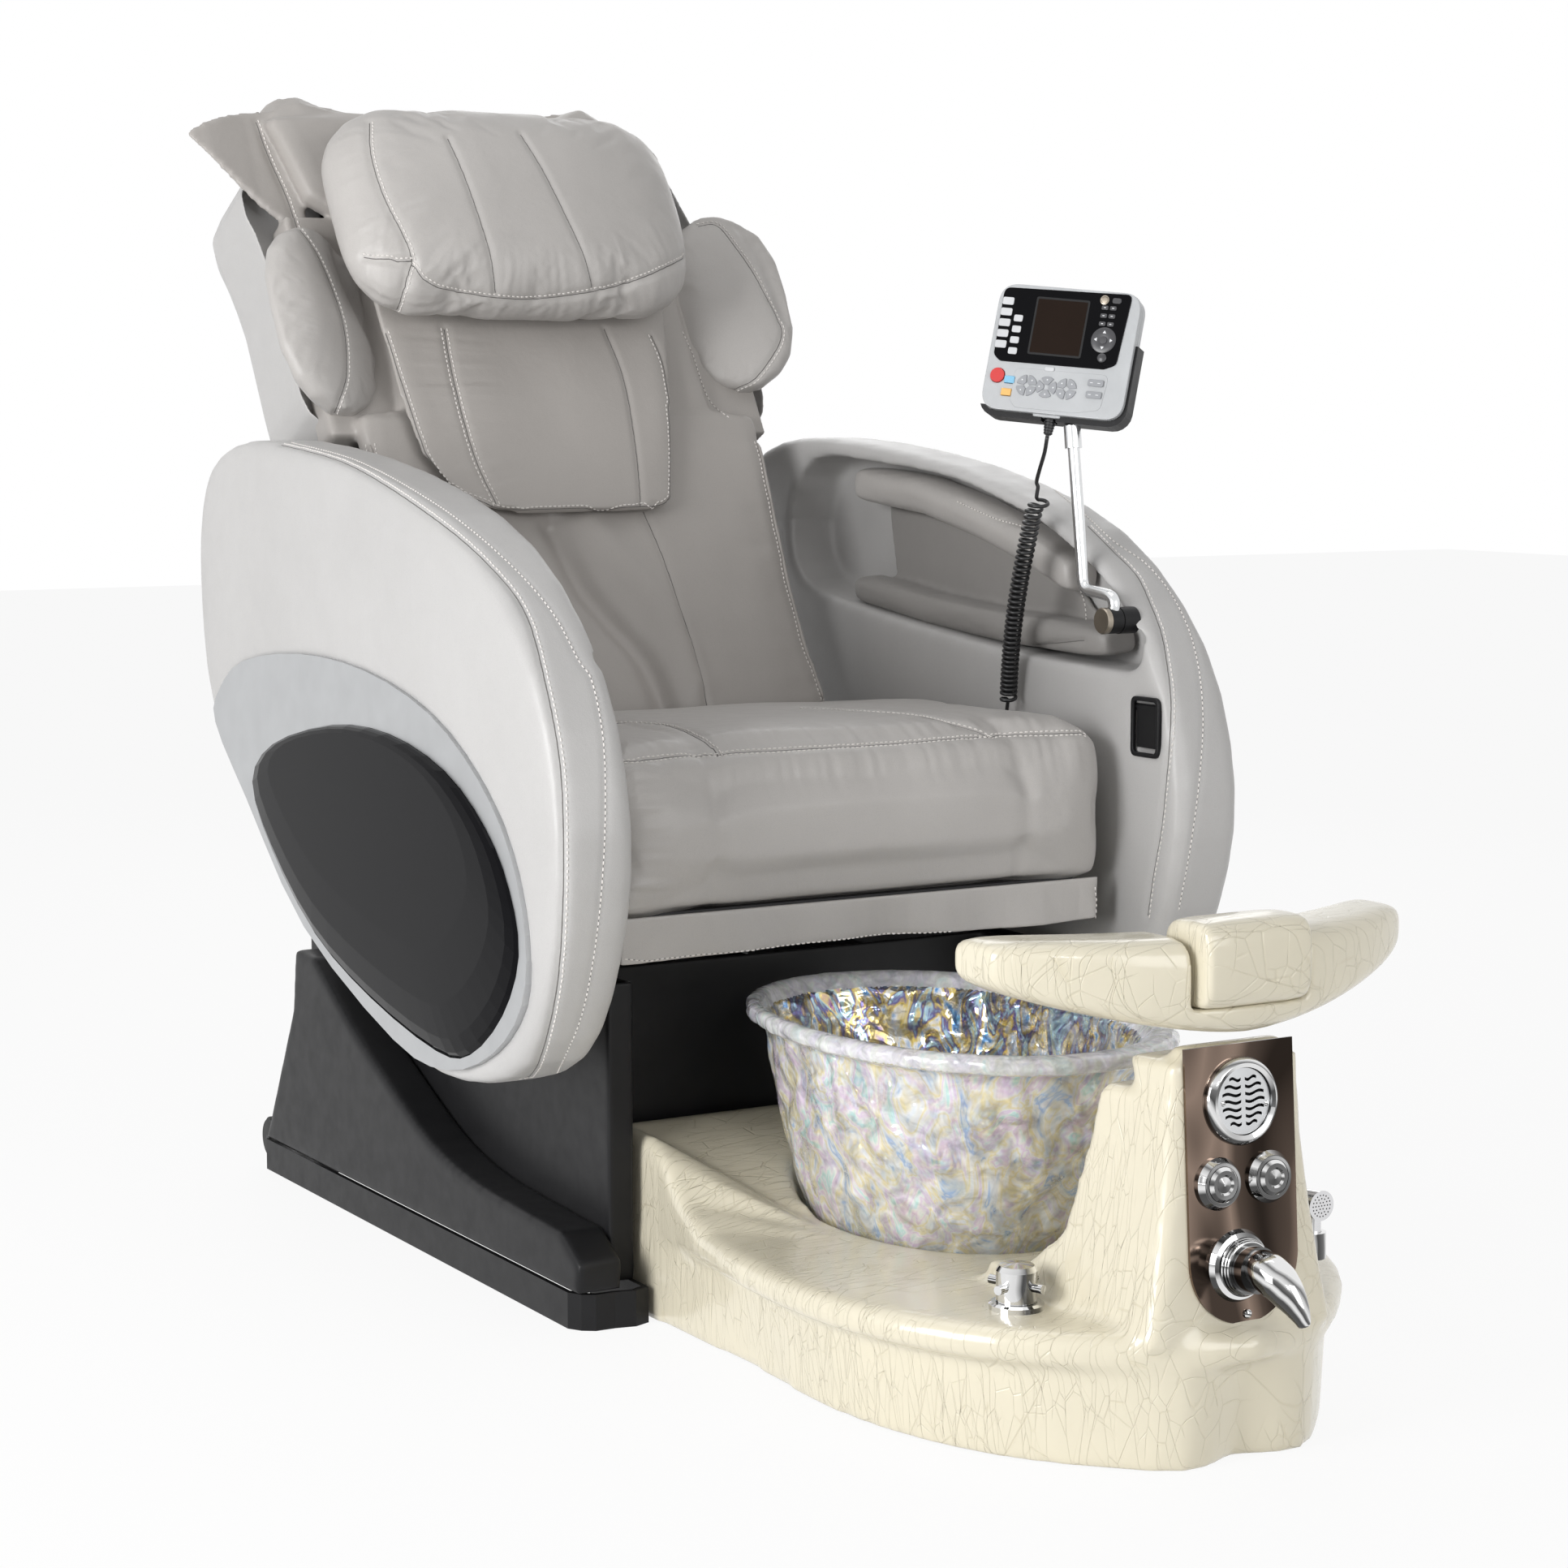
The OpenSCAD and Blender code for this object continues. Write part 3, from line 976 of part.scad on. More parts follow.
module remote_case() color("silver") on_remote() {
    difference() {
        union() {
            plate_y(-remote_t / 2, remote_t / 2) face_shape(remote_w, remote_h, 18);
            translate([relief_x, 0, -relief_len]) cylinder(h = relief_len + 1, r1 = 4.2, r2 = 6.4, $fn = 32);
        }
        translate([red_key[0], -remote_t / 2 - cut, red_key[1]]) rotate([-90, 0, 0])
            cylinder(h = key_hole + cut, r = red_key[2] + gap, $fn = 48);
        for (k = [blue_key, amber_key])
            bar([k[0] - small_key[0] / 2 - gap, -remote_t / 2 - cut, k[1] - small_key[1] / 2 - gap],
                [k[0] + small_key[0] / 2 + gap, -remote_t / 2 + key_hole,
                k[1] + small_key[1] / 2 + gap]);
    }
}
module key_red() color("red") on_remote()
    translate([red_key[0], -remote_t / 2 - key_proud, red_key[1]])
        rotate([-90, 0, 0]) cylinder(h = key_len, r = red_key[2], $fn = 48);
module small_remote_key(k) on_remote()
    bar([k[0] - small_key[0] / 2, -remote_t / 2 - key_proud, k[1] - small_key[1] / 2],
        [k[0] + small_key[0] / 2, -remote_t / 2 - key_proud + key_len, k[1] + small_key[1] / 2]);
module key_blue() color("skyblue") small_remote_key(blue_key);
module key_amber() color("orange") small_remote_key(amber_key);
module remote_keypad() color("lightgray") on_remote() {
    y = -remote_t / 2;
    h = remote_h;
    for (i = [0:4]) bar([-81, y - 1.6, h - 26 - i * 12.9], [-67, y, h - 17 - i * 12.9]);
    for (i = [0:3]) bar([-63.5, y - 1.6, h - 45 - i * 13], [-52.5, y, h - 37 - i * 13]);
    for (x = [-33.5, -9, 15.5], a = [45:90:315]) translate([x + 10 * cos(a), y, 31 + 10 * sin(a)])
        rotate([90, 0, 0]) cylinder(h = 1.6, r = 4.6, $fn = 24);
    for (z = [41, 27]) bar([39.5, y - 1.6, z - 4], [58.5, y, z + 4]);
    for (i = [0:2], s = [0, 1])
        bar([41 + s * 10, y - 1.6, h - 22.5 - i * 9.5], [49 + s * 10, y, h - 17.5 - i * 9.5]);
}
coil_axis = (coil_end - coil_top) / norm(coil_end - coil_top);
coil_u = cross([1, 0, 0], coil_axis) / norm(cross([1, 0, 0], coil_axis));
coil_v = cross(coil_axis, coil_u);
coil_len = norm(coil_end - coil_top) - 2 * cord_d;
curl_r = (curl_d - cord_d) / 2;
coil_steps = curls * 8;
// Curls round a straight axis; the first and the last wind out of it and back
coil_path = [for (i = [0:coil_steps]) let (t = i / coil_steps, a = 45 * i,
    r = curl_r * min(1, t * curls / 1.5, (1 - t) * curls / 1.5))
    coil_top + coil_axis * (cord_d + (t + 0.15 * t * (1 - t)) * coil_len) + coil_bow * sin(180 * t)
    + r * (cos(a) * coil_u + sin(a) * coil_v)];
// Least gap between neighbouring curls, measured between points a turn apart
coil_gap = min([for (i = [8:coil_steps - 16]) for (j = [5:12])
    norm(coil_path[i] - coil_path[i + j])]) - cord_d;
echo(coil_gap = coil_gap);
relief_end = remote_point([relief_x, 0, -relief_len]);
relief_down = relief_end - remote_point([relief_x, 0, 0]);
lead_path = concat([for (k = [0, 0.13, 0.26]) relief_end + relief_down * k], lead_mid,
    [for (k = [12, 6, 0]) coil_top - coil_axis * k]);
module cord_lead() color("#151515") sweep(curve(lead_path, 3), cord_d / 2, 8);
module cord_coil() color("#151515") sweep(concat([coil_top], coil_path, curve(concat([coil_end],
    tail_path), 3)), cord_d / 2, 6);

base_frame();
base_skirt();
base_inner_cover();
base_cover_right();
base_cover_left();
transport_wheel_right();
transport_wheel_left();
slide_motor();
tub_shell();
bowl();
bowl_strainer();
control_panel();
vent_grille();
button_bezels();
drain_button();
power_button();
valve_body();
valve_hub();
valve_lever();
diverter_flange();
diverter_knob();
spray_holder();
spray_head();
footrest_board();
footrest_pad();
seat_frame();
seat_cushion();
seat_flap();
arm_shell_right();
arm_shell_left();
arm_ring_right();
arm_ring_left();
arm_bubble_right();
arm_bubble_left();
arm_upper_pad_right();
arm_upper_pad_left();
arm_airbag_right();
arm_airbag_left();
latch_paddle();
back_frame();
back_shell();
back_pad();
neck_flap();
pillow();
wing_pad_right();
wing_pad_left();
massage_carriage();
massage_rollers();
recline_motor();
recline_rod();
pole_bracket();
remote_pole();
remote_holder();
remote_case();
remote_keypad();
key_red();
key_blue();
key_amber();
cord_lead();
cord_coil();
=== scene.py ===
"""Looks of a pedicure spa chair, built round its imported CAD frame. Metres, +Z up, -Y is the front."""

import json
import math

import bmesh
import bpy
import numpy as np
from mathutils import Matrix, Vector, noise
from mathutils.bvhtree import BVHTree
from mathutils.kdtree import KDTree


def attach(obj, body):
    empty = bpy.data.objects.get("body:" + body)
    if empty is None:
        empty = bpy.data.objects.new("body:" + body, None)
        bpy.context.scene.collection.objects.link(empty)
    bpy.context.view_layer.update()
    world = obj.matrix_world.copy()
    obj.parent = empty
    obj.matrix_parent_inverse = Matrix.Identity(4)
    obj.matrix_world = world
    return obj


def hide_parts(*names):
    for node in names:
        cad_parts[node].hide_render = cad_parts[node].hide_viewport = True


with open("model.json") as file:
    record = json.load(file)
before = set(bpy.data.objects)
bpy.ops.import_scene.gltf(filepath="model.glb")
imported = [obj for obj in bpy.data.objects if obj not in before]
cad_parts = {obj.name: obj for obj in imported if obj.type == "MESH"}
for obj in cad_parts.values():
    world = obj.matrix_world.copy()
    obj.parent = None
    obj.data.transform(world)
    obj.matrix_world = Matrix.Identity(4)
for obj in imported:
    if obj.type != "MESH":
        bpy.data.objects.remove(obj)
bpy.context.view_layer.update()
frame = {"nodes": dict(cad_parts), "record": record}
NODES = frame["nodes"]

# ------------------------------------------------------------------ camera

PHOTO = 1932
FOCAL = 4000.0                       # focal length in pixels of the picture
EYE = np.array((-1.893, -3.497, 0.987))
AZIMUTH, PITCH = math.radians(30.73), math.radians(6.58)
AHEAD = np.array((math.sin(AZIMUTH) * math.cos(PITCH), math.cos(AZIMUTH) * math.cos(PITCH),
    -math.sin(PITCH)))
RIGHT = np.array((math.cos(AZIMUTH), -math.sin(AZIMUTH), 0.0))
ABOVE = np.cross(RIGHT, AHEAD)


def make_camera():
    data = bpy.data.cameras.new("camera")
    data.sensor_width = 36
    data.lens = FOCAL * 36 / PHOTO
    data.clip_end = 60
    camera = bpy.data.objects.new("camera", data)
    camera.matrix_world = Matrix(
        [[RIGHT[i], ABOVE[i], -AHEAD[i], EYE[i]] for i in range(3)] + [[0, 0, 0, 1]]
    )
    bpy.context.scene.collection.objects.link(camera)
    bpy.context.scene.camera = camera


make_camera()

# --------------------------------------------------------------- materials


class Look:
    """A procedural material: a Principled shader and the textures that feed it."""

    def __init__(self, name, colour, **sockets):
        self.material = bpy.data.materials.new(name)
        self.material.use_nodes = True
        self.tree = self.material.node_tree
        self.shader = self.tree.nodes["Principled BSDF"]
        self.shader.inputs["Base Color"].default_value = (*colour, 1)
        for socket, value in sockets.items():
            self.shader.inputs[socket.replace("_", " ")].default_value = value
        self.place = self.tree.nodes.new("ShaderNodeTexCoord").outputs["Object"]
        self.normal = None

    def node(self, kind, links=(), **settings):
        made = self.tree.nodes.new("ShaderNode" + kind)
        for key, value in settings.items():
            setattr(made, key, value)
        for socket, value in dict(links).items():
            if isinstance(value, bpy.types.NodeSocket):
                self.tree.links.new(value, made.inputs[socket])
            else:
                made.inputs[socket].default_value = value
        return made

    def noise(self, scale, detail=3, rough=0.5, distort=0, place=None):
        made = self.node("TexNoise", {"Vector": place or self.place, "Scale": scale, "Detail": detail,
            "Roughness": rough, "Distortion": distort})
        return made.outputs["Fac"]

    def stretched(self, scale):
        return self.node("Mapping", {"Vector": self.place, "Scale": scale}).outputs["Vector"]

    def ramp(self, value, stops):
        made = self.node("ValToRGB", {"Fac": value})
        marks = made.color_ramp.elements
        while len(marks) < len(stops):
            marks.new(0.5)
        for mark, (at, colour) in zip(marks, stops):
            mark.position = at
            mark.color = (*colour, 1) if len(colour) == 3 else colour
        return made.outputs["Color"]

    def math(self, operation, a, b=0.0, c=0.0):
        return self.node("Math", {0: a, 1: b, 2: c}, operation=operation).outputs["Value"]

    def mix(self, share, a, b, blend="MIX"):
        made = self.node("Mix", {0: share, 6: a, 7: b}, data_type="RGBA", blend_type=blend)
        return made.outputs[2]

    def to(self, socket, value):
        self.tree.links.new(value, self.shader.inputs[socket])
        return self

    def bump(self, height, depth, strength=1.0):
        links = {"Height": height, "Distance": depth, "Strength": strength}
        if self.normal:
            links["Normal"] = self.normal
        self.normal = self.node("Bump", links).outputs["Normal"]
        self.to("Normal", self.normal)
        return self


def shade(colour, k):
    return tuple(min(1.0, c * k) for c in colour)


def vary(look, colour, spread, scale):
    """Mottles the colour by +-spread in patches of 1/scale metres."""
    look.to("Base Color", look.ramp(look.noise(scale, 4, 0.6),
        [(0.3, shade(colour, 1 - spread)), (0.7, shade(colour, 1 + spread))]))
    return look


def leather(name, colour, rough=0.42, drape=1.0):
    look = Look(name, colour, Roughness=rough, Sheen_Weight=0.06, Sheen_Roughness=0.4,
        Specular_IOR_Level=0.42)
    soft = look.noise(5, 4, 0.55)
    tone = look.ramp(soft, [(0.32, shade(colour, 0.955)), (0.68, shade(colour, 1.035))])
    pores = look.node("TexVoronoi", {"Vector": look.place, "Scale": 620.0}, feature="DISTANCE_TO_EDGE")
    crease = look.ramp(pores.outputs["Distance"], [(0.0, (0.93, 0.93, 0.93)), (0.12, (1, 1, 1))])
    look.to("Base Color", look.mix(1.0, tone, crease, "MULTIPLY"))
    look.to("Roughness", look.ramp(look.noise(38, 4, 0.6),
        [(0.3, (rough - 0.05,) * 3), (0.7, (rough + 0.07,) * 3)]))
    look.bump(pores.outputs["Distance"], 0.00022, 0.5)
    look.bump(look.noise(210, 3, 0.6), 0.00035, 0.35)
    look.bump(look.noise(17, 3, 0.5, 0.4), 0.0035 * drape, 0.35)
    return look.material


def gelcoat(name, colour):
    """Cast acrylic: smooth, with fine straight-edged shards embossed in it."""
    look = Look(name, colour, Roughness=0.26, Coat_Weight=0.5, Coat_Roughness=0.1)
    tint = look.ramp(look.noise(6, 5, 0.6), [(0.3, shade(colour, 0.965)), (0.7, shade(colour, 1.02))])
    layers = ((11, 0.955, (0.4, 0.2, 0.3)), (14, 0.96, (1.1, 0.5, 1.4)), (17, 0.965, (2.0, 0.9, 0.7)),
        (24, 0.97, (0.2, 1.3, 2.3)))
    for scale, dark, turn in layers:
        place = look.node("Mapping", {"Vector": look.place, "Rotation": turn,
            "Scale": (1.0, 4.5, 1.0)}).outputs["Vector"]
        edge = look.node("TexVoronoi", {"Vector": place, "Scale": scale},
            feature="DISTANCE_TO_EDGE").outputs["Distance"]
        near = look.ramp(edge, [(0.0, (0, 0, 0)), (0.018, (1, 1, 1))])
        patch = look.ramp(look.noise(scale * 0.4, 2), [(0.46, (0, 0, 0)), (0.52, (1, 1, 1))])
        line = look.mix(patch, near, (1, 1, 1, 1))
        tint = look.mix(1.0, tint, look.ramp(line,
            [(0.0, (dark, dark * 0.99, dark * 0.96)), (1.0, (1, 1, 1))]), "MULTIPLY")
        look.bump(line, 0.0009, 0.6)
    look.to("Base Color", tint)
    return look.material


def metal(name, colour, rough, spread=0.05, scale=30):
    look = Look(name, colour, Metallic=1.0, Roughness=rough)
    vary(look, colour, spread, scale)
    look.to("Roughness", look.ramp(look.noise(60, 4),
        [(0.3, (max(rough - 0.02, 0.01),) * 3), (0.7, (rough + 0.04,) * 3)]))
    look.bump(look.noise(900, 2), 0.00003, 0.2)
    return look.material


def chrome(name, bright=0.80, dark=0.07, tint=(1, 1, 1)):
    """Polished chrome with a painted reflection: bands of the surroundings that it mirrors, painted into its
    colour and tied to the way the surface faces.
    """
    look = Look(name, shade(tint, bright), Metallic=1.0, Roughness=0.05)
    facing = look.node("SeparateXYZ", {0: look.node("TexCoord").outputs["Normal"]})
    wobble = look.math("MULTIPLY_ADD", look.noise(24, 1), 0.2, -0.1)
    band = look.math("ADD", look.math("MULTIPLY_ADD", facing.outputs["X"], 0.35, wobble),
        facing.outputs["Z"])
    # painted reflection: bright and dark bands ramped into the base colour by the way the surface faces
    look.to("Base Color", look.ramp(look.math("MULTIPLY_ADD", band, 0.5, 0.5), [
        (0.0, shade(tint, dark * 1.4)), (0.26, shade(tint, dark * 1.1)), (0.34, shade(tint, bright)),
        (0.40, shade(tint, bright * 0.9)), (0.45, shade(tint, dark)), (0.54, shade(tint, dark * 2.4)),
        (0.60, shade(tint, bright)), (0.68, shade(tint, bright * 0.75)), (0.74, shade(tint, dark * 2)),
        (0.82, shade(tint, bright)), (1.0, shade(tint, bright))]))
    look.bump(look.noise(50, 2), 0.0002, 0.1)
    return look.material


def dark_mirror(name, colour):
    """Tinted mirror plate with a painted reflection: soft shapes of the surroundings painted into its colour.
    """
    look = Look(name, colour, Metallic=1.0, Roughness=0.1)
    painted_reflection = look.noise(6, 2, 0.4, 0.8, look.stretched((1.0, 1.0, 0.45)))
    # painted reflection: the noise ramps into dark and bright patches of the base colour
    look.to("Base Color", look.ramp(painted_reflection, [(0.36, shade(colour, 0.2)), (0.47, shade(colour, 0.7)),
        (0.54, shade(colour, 2.3)), (0.64, shade(colour, 0.5))]))
    return look.material


def plastic(name, colour, rough, grain=0.0001, coat=0.0, spread=0.06):
    look = Look(name, colour, Roughness=rough, Coat_Weight=coat, Coat_Roughness=0.05)
    vary(look, colour, spread, 22)
    look.to("Roughness", look.ramp(look.noise(45, 4),
        [(0.3, (rough * 0.9,) * 3), (0.7, (min(rough * 1.12, 1),) * 3)]))
    if grain:
        look.bump(look.noise(1100, 3, 0.7), grain, 0.4)
    return look.material


def lustre(name, stops, share, tint, scale=16, clear=0.96, metallic=0.7):
    """Rippled glass with an iridescent film over it."""
    look = Look(name, tint, Roughness=0.03, Transmission_Weight=clear, IOR=1.46)
    colours = [(0.26 + 0.48 * k / (len(stops) - 1), colour) for k, colour in enumerate(stops)]
    swirl = look.ramp(look.noise(scale, 3, 0.55, 1.6, look.stretched((1.0, 1.0, 0.55))), colours)
    film = look.node("BsdfPrincipled", {"Base Color": swirl, "Metallic": metallic, "Roughness": 0.08,
        "Coat Weight": 0.6, "Coat Roughness": 0.02})
    patch = look.ramp(look.noise(scale * 1.7, 3, 0.6, 0.8), [(0.36, (share[0],) * 3),
        (0.64, (share[1],) * 3)])
    mixed = look.node("MixShader", {0: patch, 1: look.shader.outputs[0], 2: film.outputs[0]})
    look.tree.links.new(mixed.outputs[0], look.tree.nodes["Material Output"].inputs["Surface"])
    look.bump(look.noise(42, 1, 0.4, 0.9), 0.0045, 0.7)
    look.tree.links.new(look.normal, film.inputs["Normal"])
    return look.material


GREY = (0.470, 0.452, 0.436)
LEATHER = leather("leather", GREY)
# Painted shade: a darker copy of the leather, for the airbags deep in the arm cavities.
LEATHER_PAINTED_SHADE = leather("leather_painted_shade", shade(GREY, 0.66), 0.5)
# Painted shade: a darker, slightly warmer copy of the leather for the back pad and neck flap; its darkness
# stands for the shade over the back.
LEATHER_BACK_PAINTED_SHADE = leather("leather_back_painted_shade", (0.405, 0.382, 0.362))
# Painted light: a lighter copy of the leather for the arm and back shells, smoother and less draped; its
# extra lightness stands for the light on the arms.
LEATHER_SHELL_PAINTED_LIGHT = leather("leather_on_shell_painted_light", (0.505, 0.498, 0.492), 0.38, 0.4)
THREAD = plastic("thread", shade(GREY, 1.65), 0.7, 0)
# Painted shadow: the colour of the thin dark tubes sunk in the seam grooves.
SEAM_PAINTED_SHADOW = plastic("seam_shadow", shade(GREY, 0.32), 0.8, 0)
CREAM = gelcoat("cream_gelcoat", (0.715, 0.665, 0.525))
SATIN_BLACK = plastic("satin_black", (0.010, 0.010, 0.011), 0.4, 0.00016)
GLOSS_BLACK = plastic("gloss_black", (0.004, 0.004, 0.005), 0.07, 0)
SILVER = metal("silver_lacquer", (0.56, 0.57, 0.58), 0.33, 0.04)
BRONZE = metal("bronze_cap", (0.33, 0.29, 0.24), 0.3, 0.05)
CHROME = chrome("chrome")
MIRROR = dark_mirror("mirror_plate", (0.120, 0.088, 0.070))
POLISHED = metal("polished_tube", (0.72, 0.73, 0.74), 0.2)
STEEL = metal("bright_steel", (0.7, 0.7, 0.71), 0.2)
POWDER = plastic("powder_coat", (0.035, 0.035, 0.037), 0.5, 0.0002)
RUBBER = plastic("rubber", (0.02, 0.02, 0.02), 0.6, 0.0002)
MOTOR = plastic("motor_case", (0.03, 0.03, 0.032), 0.45, 0.0002)
ROLLER = plastic("roller", (0.16, 0.12, 0.09), 0.5, 0.0002)
WHITE, COOL = (1.0, 1.0, 1.0), (0.90, 0.96, 1.0)
OUTER_GLASS = lustre("pastel_lustre", [WHITE, COOL, (0.42, 0.62, 1.0), COOL, WHITE, (1.0, 0.88, 0.50),
    WHITE, (0.90, 0.70, 0.95), WHITE, (0.58, 0.95, 0.92), COOL, WHITE], (0.28, 0.66), (0.98, 1.0, 1.0),
    20, 0.92, 0.1)
INNER_GLASS = lustre("deep_lustre", [(0.03, 0.08, 0.30), (0.16, 0.46, 0.92), (0.98, 0.97, 0.95),
    (0.86, 0.66, 0.14), (0.12, 0.08, 0.34), (0.55, 0.84, 0.98), (0.95, 0.78, 0.30), (0.56, 0.24, 0.55)],
    (0.55, 0.95), (0.85, 0.92, 0.98), 30)
RIM_GLASS = lustre("clear_rim", [(0.78, 0.95, 0.95), (0.97, 0.99, 0.95), (0.90, 0.85, 0.97),
    (0.82, 0.96, 0.96)], (0.42, 0.72), (0.92, 0.99, 0.98), 30, 0.96, 0.0)
CASE = plastic("remote_silver", (0.47, 0.485, 0.5), 0.34, 0.0001, 0.15)
KEYS = plastic("remote_keys", (0.30, 0.31, 0.33), 0.4, 0.0001)
PALE_KEYS = plastic("pale_keys", (0.60, 0.61, 0.63), 0.35, 0.0001)
DARK_KEYS = plastic("dark_keys", (0.05, 0.05, 0.055), 0.3, 0)
PRINT = plastic("key_marks", (0.75, 0.76, 0.78), 0.5, 0)
SCREEN = plastic("screen", (0.016, 0.009, 0.006), 0.12, 0)
RED = plastic("red_key", (0.58, 0.022, 0.02), 0.4, 0.0001)
BLUE = plastic("blue_key", (0.21, 0.49, 0.70), 0.4, 0.0001)
AMBER = plastic("amber_key", (0.80, 0.46, 0.13), 0.4, 0.0001)
JACKET = plastic("cord_jacket", (0.014, 0.014, 0.015), 0.38, 0.0001)
for glossy, level in ((GLOSS_BLACK, 0.07), (SATIN_BLACK, 0.22), (SCREEN, 0.1)):
    glossy.node_tree.nodes["Principled BSDF"].inputs["Specular IOR Level"].default_value = level

LOOKS = {
    POWDER: "base_frame seat_frame back_frame",
    SATIN_BLACK: "base_skirt base_inner_cover base_cover_right base_cover_left pole_bracket "
        "remote_holder latch_paddle",
    RUBBER: "transport_wheel_right transport_wheel_left",
    MOTOR: "slide_motor massage_carriage recline_motor",
    CREAM: "tub_shell footrest_board footrest_pad",
    OUTER_GLASS: "bowl",
    CHROME: "bowl_strainer button_bezels drain_button power_button valve_body valve_hub "
        "valve_lever diverter_flange diverter_knob spray_holder spray_head",
    MIRROR: "control_panel",
    SILVER: "vent_grille arm_ring_right arm_ring_left",
    LEATHER: "seat_cushion seat_flap pillow wing_pad_right wing_pad_left arm_upper_pad_right "
        "arm_upper_pad_left",
    LEATHER_BACK_PAINTED_SHADE: "back_pad neck_flap",
    LEATHER_PAINTED_SHADE: "arm_airbag_right arm_airbag_left",
    LEATHER_SHELL_PAINTED_LIGHT: "arm_shell_right arm_shell_left back_shell",
    GLOSS_BLACK: "arm_bubble_right arm_bubble_left",
    ROLLER: "massage_rollers",
    STEEL: "recline_rod",
    POLISHED: "remote_pole",
    CASE: "remote_case",
    PALE_KEYS: "remote_keypad",
    RED: "key_red",
    BLUE: "key_blue",
    AMBER: "key_amber",
    JACKET: "cord_lead cord_coil",
}
BODY = {node: body for body, members in frame["record"]["behaviour"]["bodies"].items() for node in members}


def wear(obj, material):
    obj.data.materials.clear()
    obj.data.materials.append(material)
    return obj


for material, names in LOOKS.items():
    for name in names.split():
        cad = wear(NODES[name], material)
        cad.data.shade_smooth()
        cad.data.set_sharp_from_angle(angle=math.radians(32))

# ------------------------------------------------------------ mesh helpers


def coords(obj):
    flat = np.empty(len(obj.data.vertices) * 3)
    obj.data.vertices.foreach_get("co", flat)
    return flat.reshape(-1, 3)


def normals(obj):
    flat = np.empty(len(obj.data.vertices) * 3)
    obj.data.vertices.foreach_get("normal", flat)
    return flat.reshape(-1, 3)


def set_coords(obj, points):
    obj.data.vertices.foreach_set("co", np.asarray(points, np.float32).ravel())
    obj.data.update()


def add_mesh(name, points, faces, material, body):
    data = bpy.data.meshes.new(name)
    data.from_pydata([tuple(p) for p in points], [], [tuple(f) for f in faces])
    data.validate()
    obj = bpy.data.objects.new(name, data)
    bpy.context.scene.collection.objects.link(obj)
    wear(obj, material)
    data.shade_smooth()
    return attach(obj, body)


def bake(obj):
    """Replaces the mesh of obj by what its modifiers make of it."""
    graph = bpy.context.evaluated_depsgraph_get()
    made = bpy.data.meshes.new_from_object(obj.evaluated_get(graph))
    obj.modifiers.clear()
    obj.data = made
    return obj


def modify(obj, kind, **settings):
    modifier = obj.modifiers.new(kind.lower(), kind)
    for key, value in settings.items():
        setattr(modifier, key, value)
    return modifier


def reshaped(node, name, voxel, rounds):
    """A finer copy of a CAD node: remeshed, its edges eased, standing for the node."""
    obj = bpy.data.objects.new(name, NODES[node].data.copy())
    bpy.context.scene.collection.objects.link(obj)
    modify(obj, "REMESH", mode="VOXEL", voxel_size=voxel)
    modify(obj, "SMOOTH", factor=0.5, iterations=rounds)
    bake(obj)
    wear(obj, NODES[node].data.materials[0])
    obj.data.shade_smooth()
    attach(obj, BODY[node])
    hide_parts(node)
    return obj


CLOTH_FRAMES, CLOTH_STIFFNESS = 18, 18.0


def inflate(obj, pressure, cap):
    """Blows the piece up as cloth, moving no point by more than cap."""
    scene = bpy.context.scene
    before = coords(obj)
    cloth = modify(obj, "CLOTH")
    settings = cloth.settings
    settings.use_pressure = True
    settings.uniform_pressure_force = pressure
    settings.effector_weights.gravity = 0
    settings.quality = 4
    settings.tension_stiffness = settings.compression_stiffness = CLOTH_STIFFNESS
    cloth.collision_settings.use_collision = False
    scene.frame_start, scene.frame_end = 1, CLOTH_FRAMES
    cloth.point_cache.frame_end = CLOTH_FRAMES
    for number in range(1, CLOTH_FRAMES + 1):
        scene.frame_set(number)
    bake(obj)
    scene.frame_set(1)
    step = coords(obj) - before
    size = np.linalg.norm(step, axis=1, keepdims=True)
    set_coords(obj, before + step * np.minimum(1, cap / np.maximum(size, 1e-9)))
    obj.data.shade_smooth()
    return obj


def block(place, size):
    """Points and faces of a box about the origin of place."""
    shape = bmesh.new()
    bmesh.ops.create_cube(shape, size=1, matrix=place @ Matrix.Diagonal((*size, 1)))
    shape.verts.index_update()
    made = [tuple(v.co) for v in shape.verts], [[v.index for v in face.verts] for face in shape.faces]
    shape.free()
    return made


def draft(name, points, faces):
    """An object that only shapes another piece, or is finished later."""
    obj = bpy.data.objects.new(name, bpy.data.meshes.new(name))
    obj.data.from_pydata([tuple(p) for p in points], [], faces)
    bpy.context.scene.collection.objects.link(obj)
    return obj


def finer(obj):
    modify(obj, "SUBSURF", levels=1, render_levels=1)
    bake(obj)
    obj.data.shade_smooth()
    return obj


# ----------------------------------------------------------------- studio

FLOOR_GLOW = 0.9             # the lamps give the rest of the floor's brightness, so it keeps the shadow


